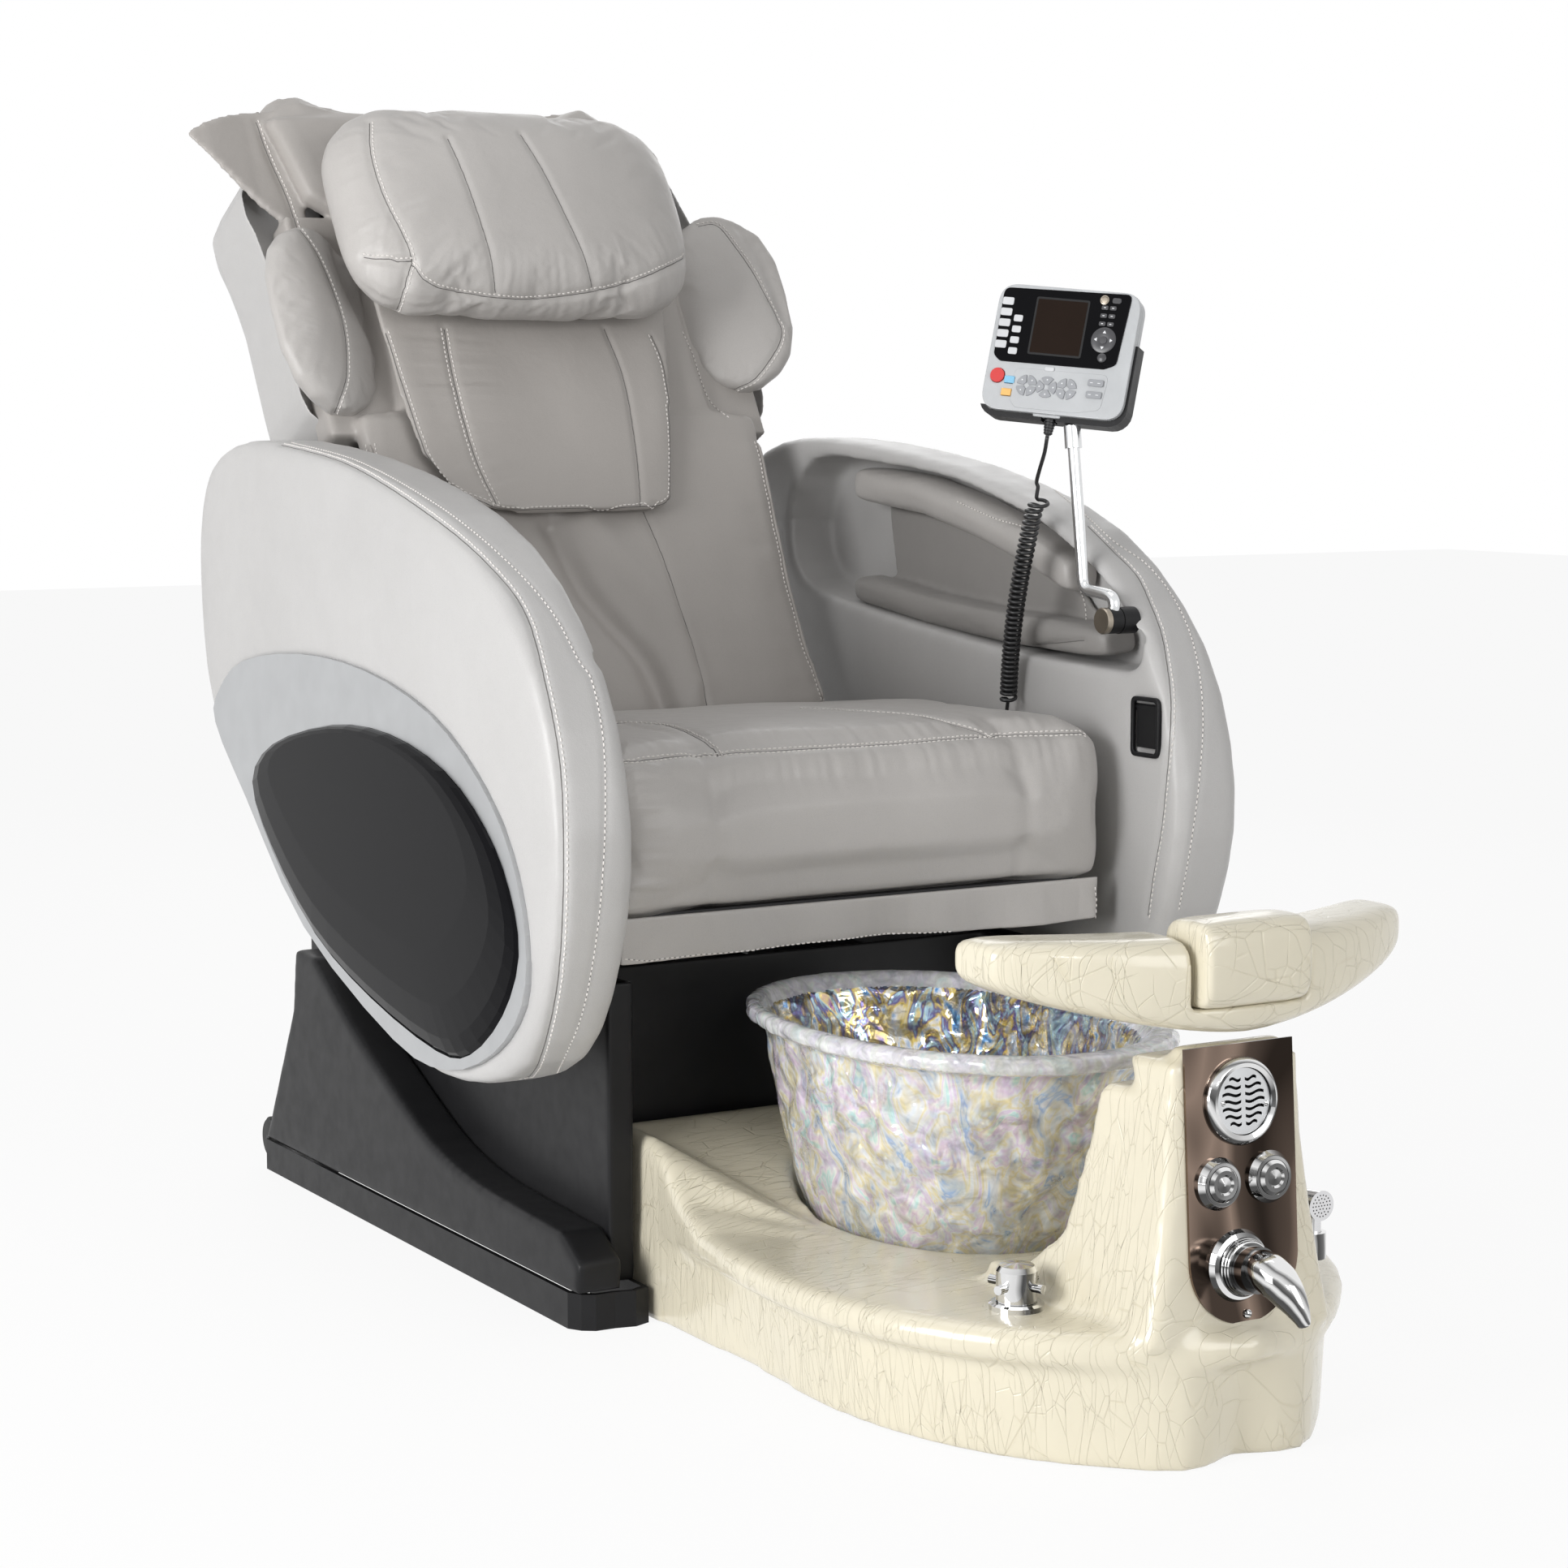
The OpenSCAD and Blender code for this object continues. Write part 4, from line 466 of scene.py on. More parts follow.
def make_studio():
    world = bpy.data.worlds.new("studio")
    bpy.context.scene.world = world
    world.use_nodes = True
    tree = world.node_tree
    tree.nodes.clear()
    seen = tree.nodes.new("ShaderNodeBackground")
    seen.inputs["Color"].default_value = (1, 1, 1, 1)
    lit = tree.nodes.new("ShaderNodeBackground")
    lit.inputs["Color"].default_value = (1.0, 0.99, 0.98, 1)
    lit.inputs["Strength"].default_value = 0.29
    path = tree.nodes.new("ShaderNodeLightPath")
    clear = path.outputs["Is Camera Ray"]
    for kind in ("Is Glossy Ray", "Is Transmission Ray"):
        either = tree.nodes.new("ShaderNodeMath")
        either.operation = "MAXIMUM"
        tree.links.new(clear, either.inputs[0])
        tree.links.new(path.outputs[kind], either.inputs[1])
        clear = either.outputs[0]
    mix = tree.nodes.new("ShaderNodeMixShader")
    tree.links.new(clear, mix.inputs[0])
    tree.links.new(lit.outputs[0], mix.inputs[1])
    tree.links.new(seen.outputs[0], mix.inputs[2])
    out = tree.nodes.new("ShaderNodeOutputWorld")
    tree.links.new(mix.outputs[0], out.inputs["Surface"])
    look = Look("studio_floor", (0.86, 0.86, 0.86), Roughness=0.6)
    vary(look, (0.86, 0.86, 0.86), 0.01, 2)
    glow = look.node("Emission", {"Color": (1, 1, 1, 1), "Strength": 1.0})
    rays = look.node("LightPath").outputs
    mirrored = look.math("MAXIMUM", rays["Is Glossy Ray"], rays["Is Transmission Ray"])
    share = look.math("MULTIPLY", look.math("MAXIMUM", rays["Is Camera Ray"], mirrored), FLOOR_GLOW)
    mixed = look.node("MixShader", {0: share, 1: look.shader.outputs[0], 2: glow.outputs[0]})
    look.tree.links.new(mixed.outputs[0], look.tree.nodes["Material Output"].inputs["Surface"])
    size = 14
    data = bpy.data.meshes.new("floor")
    data.from_pydata([(-size, -size, 0), (size, -size, 0), (size, size, 0), (-size, size, 0)], [],
        [(0, 1, 2, 3)])
    floor = bpy.data.objects.new("floor", data)
    bpy.context.scene.collection.objects.link(floor)
    wear(floor, look.material)
    lamps = [("key", (-3.5, -1.2, 1.35), 1.8, 108, (0, -0.2, 0.7)), ("front", (0.9, -4.5, 1.6), 2.2, 44,
        (0, -0.4, 0.6)), ("top", (-0.3, 0.0, 3.4), 2.0, 14, (0, 0, 0.6)), ("rim", (1.9, 2.6, 2.2), 2.0,
        16, (0, 0, 0.8)), ("spark", (-1.0, -4.2, 2.0), 0.35, 9, (0, -0.8, 0.3))]
    for name, place, size, power, target in lamps:
        lamp = bpy.data.lights.new(name, "AREA")
        lamp.energy, lamp.size = power, size
        obj = bpy.data.objects.new(name, lamp)
        obj.location = place
        obj.rotation_euler = (Vector(target) - Vector(place)).to_track_quat("-Z", "Y").to_euler()
        bpy.context.scene.collection.objects.link(obj)
    bpy.context.scene.view_settings.view_transform = "Standard"


make_studio()

# ------------------------------------------------------------------ cords

CORD_D = 0.0046
CURLS, CURL_R = 38, (0.022 - CORD_D) / 2
COIL_TOP, COIL_END = np.array((0.312, -0.367, 0.886)), np.array((0.326, -0.291, 0.638))
COIL_BOW = np.array((-0.002, 0.008, 0))    # how far the middle of the curls hangs aside
TURN_IN = 0.0055                           # radius of the bend from the straight run into the curls
COIL_CROWD = 0.15                          # the curls lie a little closer at the end
TAIL = np.array([(0.328, -0.284, 0.616), (0.331, -0.277, 0.590), (0.331, -0.276, 0.530),
    (0.331, -0.276, 0.468)])
LEAD_MID = [(0.305, -0.392, 0.937), (0.307, -0.379, 0.916), (0.309, -0.371, 0.903)]


def spline(points, k):
    """Smooth curve through points, k steps to a span."""
    p = np.asarray(points, float)
    n = len(p)
    made = []
    for i in range(n - 1):
        a, b, c, d = p[max(i - 1, 0)], p[i], p[i + 1], p[min(i + 2, n - 1)]
        for t in np.arange(k) / k:
            square, cube = 2 * a - 5 * b + 4 * c - d, 3 * b - a - 3 * c + d
            made.append(0.5 * (2 * b + (c - a) * t + square * t * t + cube * t ** 3))
    return np.array(made + [p[-1]])


def length_of(points):
    return float(np.linalg.norm(np.diff(points, axis=0), axis=1).sum())


def cord_curve(name, points, body, node):
    data = bpy.data.curves.new(name, "CURVE")
    data.dimensions = "3D"
    data.bevel_depth = CORD_D / 2
    data.bevel_resolution = 3
    data.use_fill_caps = True
    line = data.splines.new("POLY")
    line.points.add(len(points) - 1)
    line.points.foreach_set("co", np.hstack([points, np.ones((len(points), 1))]).ravel())
    obj = bpy.data.objects.new(name, data)
    bpy.context.scene.collection.objects.link(obj)
    data.materials.append(JACKET)
    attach(obj, body)
    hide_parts(node)
    return obj


REMOTE_TURN, REMOTE_LEAN, REMOTE_ROLL = math.radians(-54), math.radians(14), math.radians(5.5)
POLE_TOP = Vector((0.327, -0.416, 0.964))
REMOTE = (Matrix.Translation(POLE_TOP + Vector((-0.016, 0.017, 0.0145))) @ Matrix.Rotation(REMOTE_TURN, 4,
    "Z") @ Matrix.Rotation(-REMOTE_LEAN, 4, "X") @ Matrix.Rotation(REMOTE_ROLL, 4, "Y"))
RELIEF_X, RELIEF_LEN = -0.002, 0.022


def on_remote(x, y, z):
    return np.array(REMOTE @ Vector((x, y, z)))


def make_cords():
    axis = COIL_END - COIL_TOP
    reach = np.linalg.norm(axis) - 2 * CORD_D
    axis /= np.linalg.norm(axis)
    u = np.cross((1, 0, 0), axis)
    u /= np.linalg.norm(u)
    v = np.cross(axis, u)
    steps = CURLS * 20
    t = np.arange(steps + 1) / steps
    angle = 2 * math.pi * CURLS * t
    advance = CORD_D + (t + COIL_CROWD * t * (1 - t)) * reach
    curls = (COIL_TOP + np.outer(advance, axis) + np.outer(np.sin(math.pi * t), COIL_BOW)
        + CURL_R * (np.outer(np.cos(angle), u) + np.outer(np.sin(angle), v)))
    aside = [(TURN_IN * v * side - CURL_R * u) * np.maximum(0, 1 - part * CURLS / 1.5)[:, None] ** 2
        for side, part in ((1, t), (-1, 1 - t))]
    curls += aside[0] + aside[1]
    quarter = np.linspace(0, math.pi / 2, 7)[:-1]
    enter = COIL_TOP + np.outer(CORD_D * np.sin(quarter), axis) + np.outer(TURN_IN
        * (1 - np.cos(quarter)), v)
    leave = (COIL_END - np.outer(CORD_D * np.sin(quarter), axis) - np.outer(TURN_IN
        * (1 - np.cos(quarter)), v))[::-1]
    coil = np.vstack([enter, curls, leave[:-1], spline(np.vstack([[COIL_END], TAIL]), 6)])
    end = on_remote(RELIEF_X, 0, -RELIEF_LEN)
    down = end - on_remote(RELIEF_X, 0, 0)
    lead = spline([end + down * k for k in (0, 0.13, 0.26)] + [np.array(p) for p in LEAD_MID]
        + [COIL_TOP - axis * k for k in (0.012, 0.006, 0)], 6)
    print("cord lengths", length_of(lead), length_of(coil))
    first = cord_curve("cord_lead_run", lead, "holder", "cord_lead")
    second = cord_curve("cord_coil_run", coil, "carriage", "cord_coil")


make_cords()

# ------------------------------------------------------------- soft goods

SIGHT = AHEAD * FOCAL


def sight(px, py):
    """Direction from the eye through one pixel of the picture."""
    return Vector(SIGHT + RIGHT * (px - PHOTO / 2) - ABOVE * (py - PHOTO / 2))


def even(points, pitch):
    """Points at an even pitch along a line."""
    points = np.asarray(points)
    run = np.concatenate([[0], np.cumsum(np.linalg.norm(np.diff(points, axis=0), axis=1))])
    marks = np.linspace(0, run[-1], max(int(round(run[-1] / pitch)), 2) + 1)
    return np.stack([np.interp(marks, run, points[:, k]) for k in range(3)], axis=1)


def unit(v):
    return v / np.maximum(np.linalg.norm(v, axis=-1, keepdims=True), 1e-12)


def along(points):
    return unit(np.gradient(points, axis=0))


def ring_strip(rings, capped=True):
    """Points and faces of a tube through rings of points."""
    n, k = len(rings), len(rings[0])
    faces = [(a * k + b, a * k + (b + 1) % k, (a + 1) * k + (b + 1) % k, (a + 1) * k + b)
        for a in range(n - 1) for b in range(k)]
    if capped:
        faces += [tuple(range(k))[::-1], tuple(range((n - 1) * k, n * k))]
    return np.concatenate(rings), faces


def round_tube(path, normal, radii, sides=8):
    turn = np.arange(sides) * 2 * math.pi / sides
    side = unit(np.cross(along(path), normal))
    return ring_strip([path[i] + radii[i]
        * (np.outer(np.cos(turn), normal[i]) + np.outer(np.sin(turn), side[i])) for i in range(len(path))])


class Heap:
    """Many small meshes gathered into one piece."""

    def __init__(self):
        self.points, self.faces, self.count = [], [], 0

    def add(self, points, faces):
        self.points.append(points)
        self.faces += [tuple(k + self.count for k in face) for face in faces]
        self.count += len(points)

    def piece(self, name, material, body):
        if self.count:
            return add_mesh(name, np.concatenate(self.points), self.faces, material, body)


LINE_STEP, TUBE_STEP = 0.0025, 0.004        # pitch of the points along a seam, and along its tube
PIXEL_STEPS = 10                            # points to a span between two pixels of the picture
STITCH, STITCH_PITCH, STITCH_R = 0.0044, 0.0064, 0.0009


class Cover:
    """A soft cover, with seams laid where the picture shows them."""

    def __init__(self, obj, body):
        self.obj, self.body = obj, body
        self.points = coords(obj)
        self.faces = [tuple(face.vertices) for face in obj.data.polygons]
        self.threads, self.seams, self.cord = Heap(), Heap(), Heap()
        self.refresh()

    def refresh(self):
        set_coords(self.obj, self.points)
        self.normals = normals(self.obj)
        self.tree = BVHTree.FromPolygons(self.points.tolist(), self.faces)

    def snap(self, points):
        found = [self.tree.find_nearest(Vector(p)) for p in points]
        normal = np.array([f[1] for f in found])
        for _ in range(3):
            normal[1:-1] = unit(normal[:-2] + 2 * normal[1:-1] + normal[2:])
        return np.array([f[0] for f in found]), normal

    def seen(self, pixels, jump=0.045):
        """The line on the cover that the picture shows through these pixels."""
        eye, hits = Vector(EYE), []
        for px, py in spline([(x, y, 0) for x, y in pixels], PIXEL_STEPS)[:, :2]:
            ray = sight(px, py).normalized()
            hit = self.tree.ray_cast(eye, ray)[0]
            if hits and (hit is None or (hit - hits[-1]).length > jump):
                hit = self.tree.find_nearest(eye + ray * (hits[-1] - eye).length)[0]
            if hit is not None and (not hits or (hit - hits[-1]).length < jump):
                hits.append(hit)
        return self.snap(even(hits, LINE_STEP))[0] if len(hits) > 2 else None

    def near(self, line, reach):
        """Vertices within reach of a line, their distances and the nearest sample."""
        low, high = line.min(0) - reach, line.max(0) + reach
        index = np.flatnonzero(((self.points > low) & (self.points < high)).all(1))
        far, which = np.full(len(index), 9.0), np.zeros(len(index), int)
        for start in range(0, len(line), 64):
            gap = np.linalg.norm(self.points[index, None] - line[None, start:start + 64], axis=2)
            best = gap.argmin(1)
            least = gap[np.arange(len(index)), best]
            closer = least < far
            far[closer], which[closer] = least[closer], best[closer] + start
        close = far < reach
        return index[close], far[close], which[close]

    def press(self, line, depth=0.0025, width=0.006, pucker=0.0, pitch=0.016, spread=0.022):
        """Draws the cover in along a line, with puckers that fade away from it."""
        if line is None:
            return
        reach = max(3 * width, 3 * spread if pucker else 0)
        index, far, which = self.near(line, reach)
        move = -depth * np.exp(-(far / width) ** 2)
        if pucker:
            along_line = np.arange(len(line)) * LINE_STEP / pitch * 1.7
            wave = np.array([noise.noise(Vector((k, 3.1 * line[0][0], 0.5))) for k in along_line])
            fade = (far / spread) * np.exp(1 - far / spread) * np.exp(-(far / reach) ** 4)
            move += 2 * pucker * wave[which] * fade
        self.points[index] += self.normals[index] * move[:, None]

    def ruffle(self, height, scale, stretch=(1, 1, 1)):
        """Uneven filling: soft hollows and swells all over the cover."""
        reach = np.array(stretch) * scale
        wave = np.array([noise.noise(Vector(p * reach)) for p in self.points])
        self.points += self.normals * (height * wave)[:, None]
        self.refresh()

    def stitch(self, line, offset=0.0, lift=0.0003):
        if line is None:
            return
        base, normal = self.snap(even(line, LINE_STEP))
        side = unit(np.cross(along(base), normal))
        row, normal = self.snap(even(base + side * offset, STITCH_PITCH))
        ahead = along(row)
        for at, up, run in zip(row, normal, ahead):
            marks = np.array((-0.5, -0.3, 0.3, 0.5)) * STITCH
            path = at + np.outer(marks, run) + np.outer((-0.0004, lift, lift, -0.0004), up)
            self.threads.add(*round_tube(path, np.repeat([up], 4, 0), STITCH_R
                * np.array((0.5, 1, 1, 0.5)), 5))

    # Lays a thin dark tube in the groove of a seam: a painted shadow along it.
    def seam(self, line, radius=0.0007):
        if line is None:
            return
        path, normal = self.snap(even(line, TUBE_STEP))
        path = path - normal * radius * 0.35
        self.seams.add(*round_tube(path, normal, np.full(len(path), radius), 5))

    def piping(self, line, radius=0.0026, proud=0.3):
        if line is None:
            return
        path, normal = self.snap(even(line, TUBE_STEP))
        path = path + normal * radius * proud
        ends = np.minimum(1, np.minimum(np.arange(len(path)), np.arange(len(path))[::-1]) / 2 + 0.2)
        self.cord.add(*round_tube(path, normal, radius * ends, 8))

    def finish(self, name, leather_look):
        self.threads.piece(name + "_stitches", THREAD, self.body)
        self.seams.piece(name + "_seam_shadows", SEAM_PAINTED_SHADOW, self.body)
        self.cord.piece(name + "_piping", leather_look, self.body)


def outer_edge(cover, place, side, low, high, lean=0.9):
    """The front edge of one side of a cover, in its own upright frame, between two heights."""
    own = cover.points - np.array(place.translation)
    own = own @ np.array(place.to_3x3())
    made = []
    for z in np.arange(low, high, 0.006):
        level = np.flatnonzero(np.abs(own[:, 2] - z) < 0.005)
        if len(level):
            made.append(cover.points[level[(side * own[level, 0] - lean * own[level, 1]).argmax()]])
    made = np.array(made)
    for _ in range(6):
        made[1:-1] = (made[:-2] + 2 * made[1:-1] + made[2:]) / 4
    return made


def sew(cover, name, plan, look):
    """Presses and sews every line of a plan: name to kind and pixels, or to kind and points."""
    lines = [(kind, where if isinstance(where, np.ndarray) else cover.seen(where)) for kind,
        where in plan.values()]
    for kind, line in lines:
        groove, pucker = PRESS[kind]
        if groove or pucker:
            cover.press(line, *groove, pucker=pucker)
            cover.refresh()
    for kind, line in lines:
        if kind in ("seam", "double", "single", "gathered", "plain"):
            cover.seam(line)
        if kind in ("double", "gathered"):
            cover.stitch(line, 0.0042)
        if kind in ("double", "single", "plain"):
            cover.stitch(line, -0.0042)
        if kind == "row":
            cover.seam(line, 0.0004)
            cover.stitch(line)
        if kind == "piped":
            cover.piping(line)
            cover.stitch(line, 0.0062)
            cover.stitch(line, -0.0062)
    cover.finish(name, look)


# depth and width of the groove, and the height of the puckers beside it
PRESS = {"seam": ((0.0022, 0.005), 0), "double": ((0.0026, 0.007), 0.0006), "single": ((0.0026, 0.007),
    0.0006), "gathered": ((0.004, 0.008), 0.0020), "row": ((0.0009, 0.004), 0), "piped": ((0.0022, 0.010),
    0.0007), "plain": ((0.0018, 0.005), 0), "fold": ((0.006, 0.012), 0), "deep": ((0.015, 0.017), 0),
    "swell": ((-0.008, 0.024), 0)}

# -------------------------------------------------------- plates and turned pieces

MM = 0.001


def corners(outline, radius, steps=5):
    """Rounds the corners of an outline in millimetres; returns metres."""
    made = []
    n = len(outline)
    for i in range(n):
        p, a, b = (np.array(outline[(i + k) % n], float) for k in (0, -1, 1))
        u, v = unit(a - p), unit(b - p)
        half = math.acos(max(-1, min(1, float(u @ v)))) / 2
        run = min(radius / math.tan(half), 0.45 * np.linalg.norm(a - p), 0.45 * np.linalg.norm(b - p))
        start, end = p + u * run, p + v * run
        made += [(1 - t) ** 2 * start + 2 * t * (1 - t) * p + t * t * end for t in np.linspace(0, 1, steps
            + 1)]
    return np.array(made) * MM


def box(w, h, x=0.0, z=0.0):
    return [(x - w / 2, z - h / 2), (x + w / 2, z - h / 2), (x + w / 2, z + h / 2), (x - w / 2, z + h / 2)]


def circle(r, x=0.0, z=0.0, n=40):
    turn = np.arange(n) * 2 * math.pi / n
    return np.stack([x + r * np.cos(turn), z + r * np.sin(turn)], 1) * MM


def plate(name, outlines, low, high, place, material, body, edge=0.6, steps=2):
    """A plate with eased edges: outlines in metres, low and high over the face in millimetres."""
    data = bpy.data.curves.new(name, "CURVE")
    data.dimensions, data.fill_mode = "2D", "BOTH"
    data.extrude = max((high - low) / 2 - edge, 0.01) * MM
    data.bevel_depth, data.bevel_resolution, data.offset = edge * MM, steps, -edge * MM
    for outline in outlines:
        line = data.splines.new("POLY")
        line.points.add(len(outline) - 1)
        line.points.foreach_set("co",
            np.hstack([outline, np.zeros((len(outline), 1)), np.ones((len(outline), 1))]).ravel())
        line.use_cyclic_u = True
    draft = bpy.data.objects.new(name + "_draft", data)
    bpy.context.scene.collection.objects.link(draft)
    graph = bpy.context.evaluated_depsgraph_get()
    mesh = bpy.data.meshes.new_from_object(draft.evaluated_get(graph))
    bpy.data.objects.remove(draft)
    bpy.data.curves.remove(data)
    mesh.transform(place @ Matrix.Translation((0, 0, (low + high) / 2 * MM)))
    obj = bpy.data.objects.new(name, mesh)
    bpy.context.scene.collection.objects.link(obj)
    wear(obj, material)
    mesh.shade_smooth()
    mesh.set_sharp_from_angle(angle=math.radians(40))
    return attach(obj, body)


def lathe(name, profile, at, place, material, body, steps=48):
    """A piece turned about the axis that stands out of a face at a point of it; millimetres."""
    turn = np.arange(steps) * 2 * math.pi / steps
    rings = [np.stack([at[0] + r * np.cos(turn), at[1] + r * np.sin(turn), np.full(steps, out)], 1) * MM
        for r, out in profile]
    hollow = min(profile[0][0], profile[-1][0]) > 0
    points, faces = ring_strip(rings + rings[:1] if hollow else rings, False)
    world = np.array([place @ Vector(p) for p in points])
    obj = add_mesh(name, world, faces, material, body)
    shape = bmesh.new()
    shape.from_mesh(obj.data)
    bmesh.ops.remove_doubles(shape, verts=shape.verts, dist=1e-7)
    bmesh.ops.recalc_face_normals(shape, faces=shape.faces)
    shape.to_mesh(obj.data)
    shape.free()
    obj.data.shade_smooth()
    obj.data.set_sharp_from_angle(angle=math.radians(35))
    return obj


def stands_for(obj, node):
    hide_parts(node)
    return obj


QUARTER = Matrix.Rotation(math.radians(90), 4, "X")        # local Z out of a face whose outside is -Y

# ------------------------------------------------------------------ remote

FACE = REMOTE @ Matrix.Translation((0, -0.013, 0)) @ QUARTER
CASE_W, CASE_H, CASE_R = 174, 150, 23
RED_KEY, BLUE_KEY, AMBER_KEY = (-71.5, 40), (-55.5, 36), (-57, 21)
LEFT_KEYS = [(-74, 128.5 - 12.9 * k) for k in range(5)]
INNER_KEYS = [(-58, 109 - 13 * k) for k in range(4)]
RING_KEY, OVAL_KEY, PAD, KNOB, LIGHT = (43, 139), (58, 139), (50, 92), (52, 71), (-9, 52.5)
DASH_ROWS = (41, 27)
FIGURES = [(-33.5, 31), (-9, 31), (15.5, 31)]
FIGURE_R, FIGURE_HOLE, MARK_R = 12.6, 3.6, 8.6
RIB_PITCH = 0.0024
RELIEF_R, RELIEF_TAPER, RELIEF_PITCH = 7.4, 0.44, 3.3


def slab(name, outline, low, high, material, edge):
    """A plate on the remote's face, whose outline has x to the right and z up from its lower edge."""
    return plate("remote_" + name, [outline], low, high, FACE, material, "remote", edge)


def turned(name, profile, at, material, steps=48):
    return lathe("remote_" + name, profile, at, FACE, material, "remote", steps)


def key_hole(at, grow=0.35):
    return corners(box(12 + 2 * grow, 8 + 2 * grow, *at), 1.2, 3)


def remote_shells():
    outline = corners(box(CASE_W, CASE_H, 0, CASE_H / 2), CASE_R, 10)
    holes = [circle(8.85, *RED_KEY), key_hole(BLUE_KEY), key_hole(AMBER_KEY)]
    front = plate("remote_front_shell", [outline] + holes, -9.5, 0, FACE, CASE, "remote", 0.9, 4)
    stands_for(front, "remote_case")
    inner = corners(box(CASE_W - 1, CASE_H - 1, 0, CASE_H / 2), CASE_R, 10)
    plate("remote_back_shell", [inner], -26, -9.8, FACE, CASE, "remote", 4.5, 6)


def remote_face():
    glass = [(-82, 145), (75, 148), (70, 64), (56, 58), (-72, 57), (-81, 64)]
    column = [(36, 147), (75, 148), (70, 63), (53, 61)]
    lower = [(-51, 51), (64, 52), (60, 10), (30, 4), (-44, 4), (-51, 12)]
    slab("glass", corners(glass, 9), -1, 1.0, GLOSS_BLACK, 0.5)
    slab("column", corners(column, 7), 0.5, 1.9, GLOSS_BLACK, 0.6)
    slab("screen_rim", corners(box(66, 69, -7, 102.5), 3), 0.5, 1.35, SATIN_BLACK, 0.3)
    slab("screen", corners(box(61, 64, -7, 102.5), 1.5), 0.8, 1.6, SCREEN, 0.2)
    slab("lower_panel", corners(lower, 8), -0.6, 0.6, CASE, 0.5)
    slab("lip", corners(box(34, 5, -5, -0.5), 2), -16, -5, CASE, 1.2)


def remote_round_keys():
    turned("ring_key", [(0, 1.5), (5.4, 1.6), (5.4, 2.6), (4.2, 3.0), (3.6, 2.4), (0, 2.7)], RING_KEY, BRONZE)
    slab("oval_key", corners(box(11, 6.5, *OVAL_KEY), 3.2), 1.5, 3.0, DARK_KEYS, 0.5)
    dish = [(0, 1.5), (15, 1.5), (15, 2.4), (12.6, 3.2), (4.6, 2.4), (4.4, 3.3), (0, 3.5)]
    turned("pad", dish, PAD, DARK_KEYS)
    for k, (dx, dz) in enumerate(((1, 0), (0, 1), (-1, 0), (0, -1))):
        tip, base = np.array((dx, dz)), np.array((-dz, dx))
        foot = np.array(PAD) + tip * 7.8
        arrow = [np.array(PAD) + tip * 11.4, foot + base * 2.2, foot - base * 2.2]
        slab("arrow_%d" % k, corners(arrow, 0.3, 2), 2.2, 3.2, PRINT, 0.1)
    turned("knob", [(0, 1.5), (5.4, 1.5), (5.4, 3), (4.2, 3.8), (0, 4.1)], KNOB, DARK_KEYS, 32)
    slab("oval_light", corners(box(12, 5, *LIGHT), 2.4), 0.2, 1.6, PALE_KEYS, 0.5)


def remote_flat_keys():
    caps = [(box(14, 9, *at), PALE_KEYS) for at in LEFT_KEYS]
    caps += [(box(11, 8, *at), PALE_KEYS) for at in INNER_KEYS]
    caps += [(box(19, 8, 50, z), KEYS) for z in DASH_ROWS]
    for k, (outline, look) in enumerate(caps):
        slab("cap_%d" % k, corners(outline, 2.2, 4), 1.4, 2.6, look, 0.5)
    for k, (column, row) in enumerate((i, j) for i in (0, 1) for j in (0, 1, 2)):
        at = (45 + 10 * column, 130 - 9.5 * row)
        slab("pair_%d" % k, corners(box(8, 5, *at), 1.5, 3), 1.7, 2.7, DARK_KEYS, 0.4)
        slab("pair_mark_%d" % k, corners(box(2.6, 0.9, *at), 0.3, 2), 2.6, 2.85, PRINT, 0.05)
    for k, at in enumerate((x, z) for x in (45, 54) for z in DASH_ROWS):
        slab("mark_%d" % k, corners(box(3.4, 0.9, *at), 0.3, 2), 2.5, 2.75, PRINT, 0.05)


def remote_figure(k, x, z):
    """Four petal keys round a point of the face."""
    for quarter in range(4):
        first = math.radians(90 * quarter + (45 if k == 1 else 0) + 7)
        last = first + math.radians(76)
        turns = np.linspace(first, last, 9)
        arc = [(x + FIGURE_R * math.cos(a), z + FIGURE_R * math.sin(a)) for a in turns]
        inner = [(x + FIGURE_HOLE * math.cos(a), z + FIGURE_HOLE * math.sin(a)) for a in (last, first)]
        key = slab("petal_%d_%d" % (k, quarter), corners(arc + inner, 1.2, 3), 0.4, 2.0, KEYS, 0.6)
        if (k, quarter) == (0, 0):
            stands_for(key, "remote_keypad")
        middle = (first + last) / 2
        at = (x + MARK_R * math.cos(middle), z + MARK_R * math.sin(middle))
        slab("petal_mark_%d_%d" % (k, quarter), circle(0.9, *at, 12), 1.8, 2.12, PRINT, 0.05)


def remote_ribs():
    """Fine grip ribs over the rounded edge of the case."""
    ribs = Heap()
    path = corners(box(CASE_W - 2, CASE_H - 2, 0, CASE_H / 2), CASE_R - 1, 10)
    closed = np.column_stack([np.vstack([path, path[:1]]), np.zeros(len(path) + 1)])
    rim = even(closed, RIB_PITCH)[:-1]
    for at, run in zip(rim, along(rim)):
        out = np.array((run[1], -run[0], 0))
        line = np.array([at - out * 0.0012 + (0, 0, -0.0012), at + out * 0.0007 + (0, 0, -0.0035),
            at + out * 0.0009 + (0, 0, -0.0062), at + out * 0.0007 + (0, 0, -0.0088)])
        world = np.array([FACE @ Vector(p) for p in line])
        up = np.array(FACE.to_3x3() @ Vector(out))
        radii = np.array((0.0002, 0.0006, 0.0006, 0.0002))
        ribs.add(*round_tube(world, np.repeat([up], 4, 0), radii, 5))
    ribs.piece("remote_ribs", CASE, "remote")


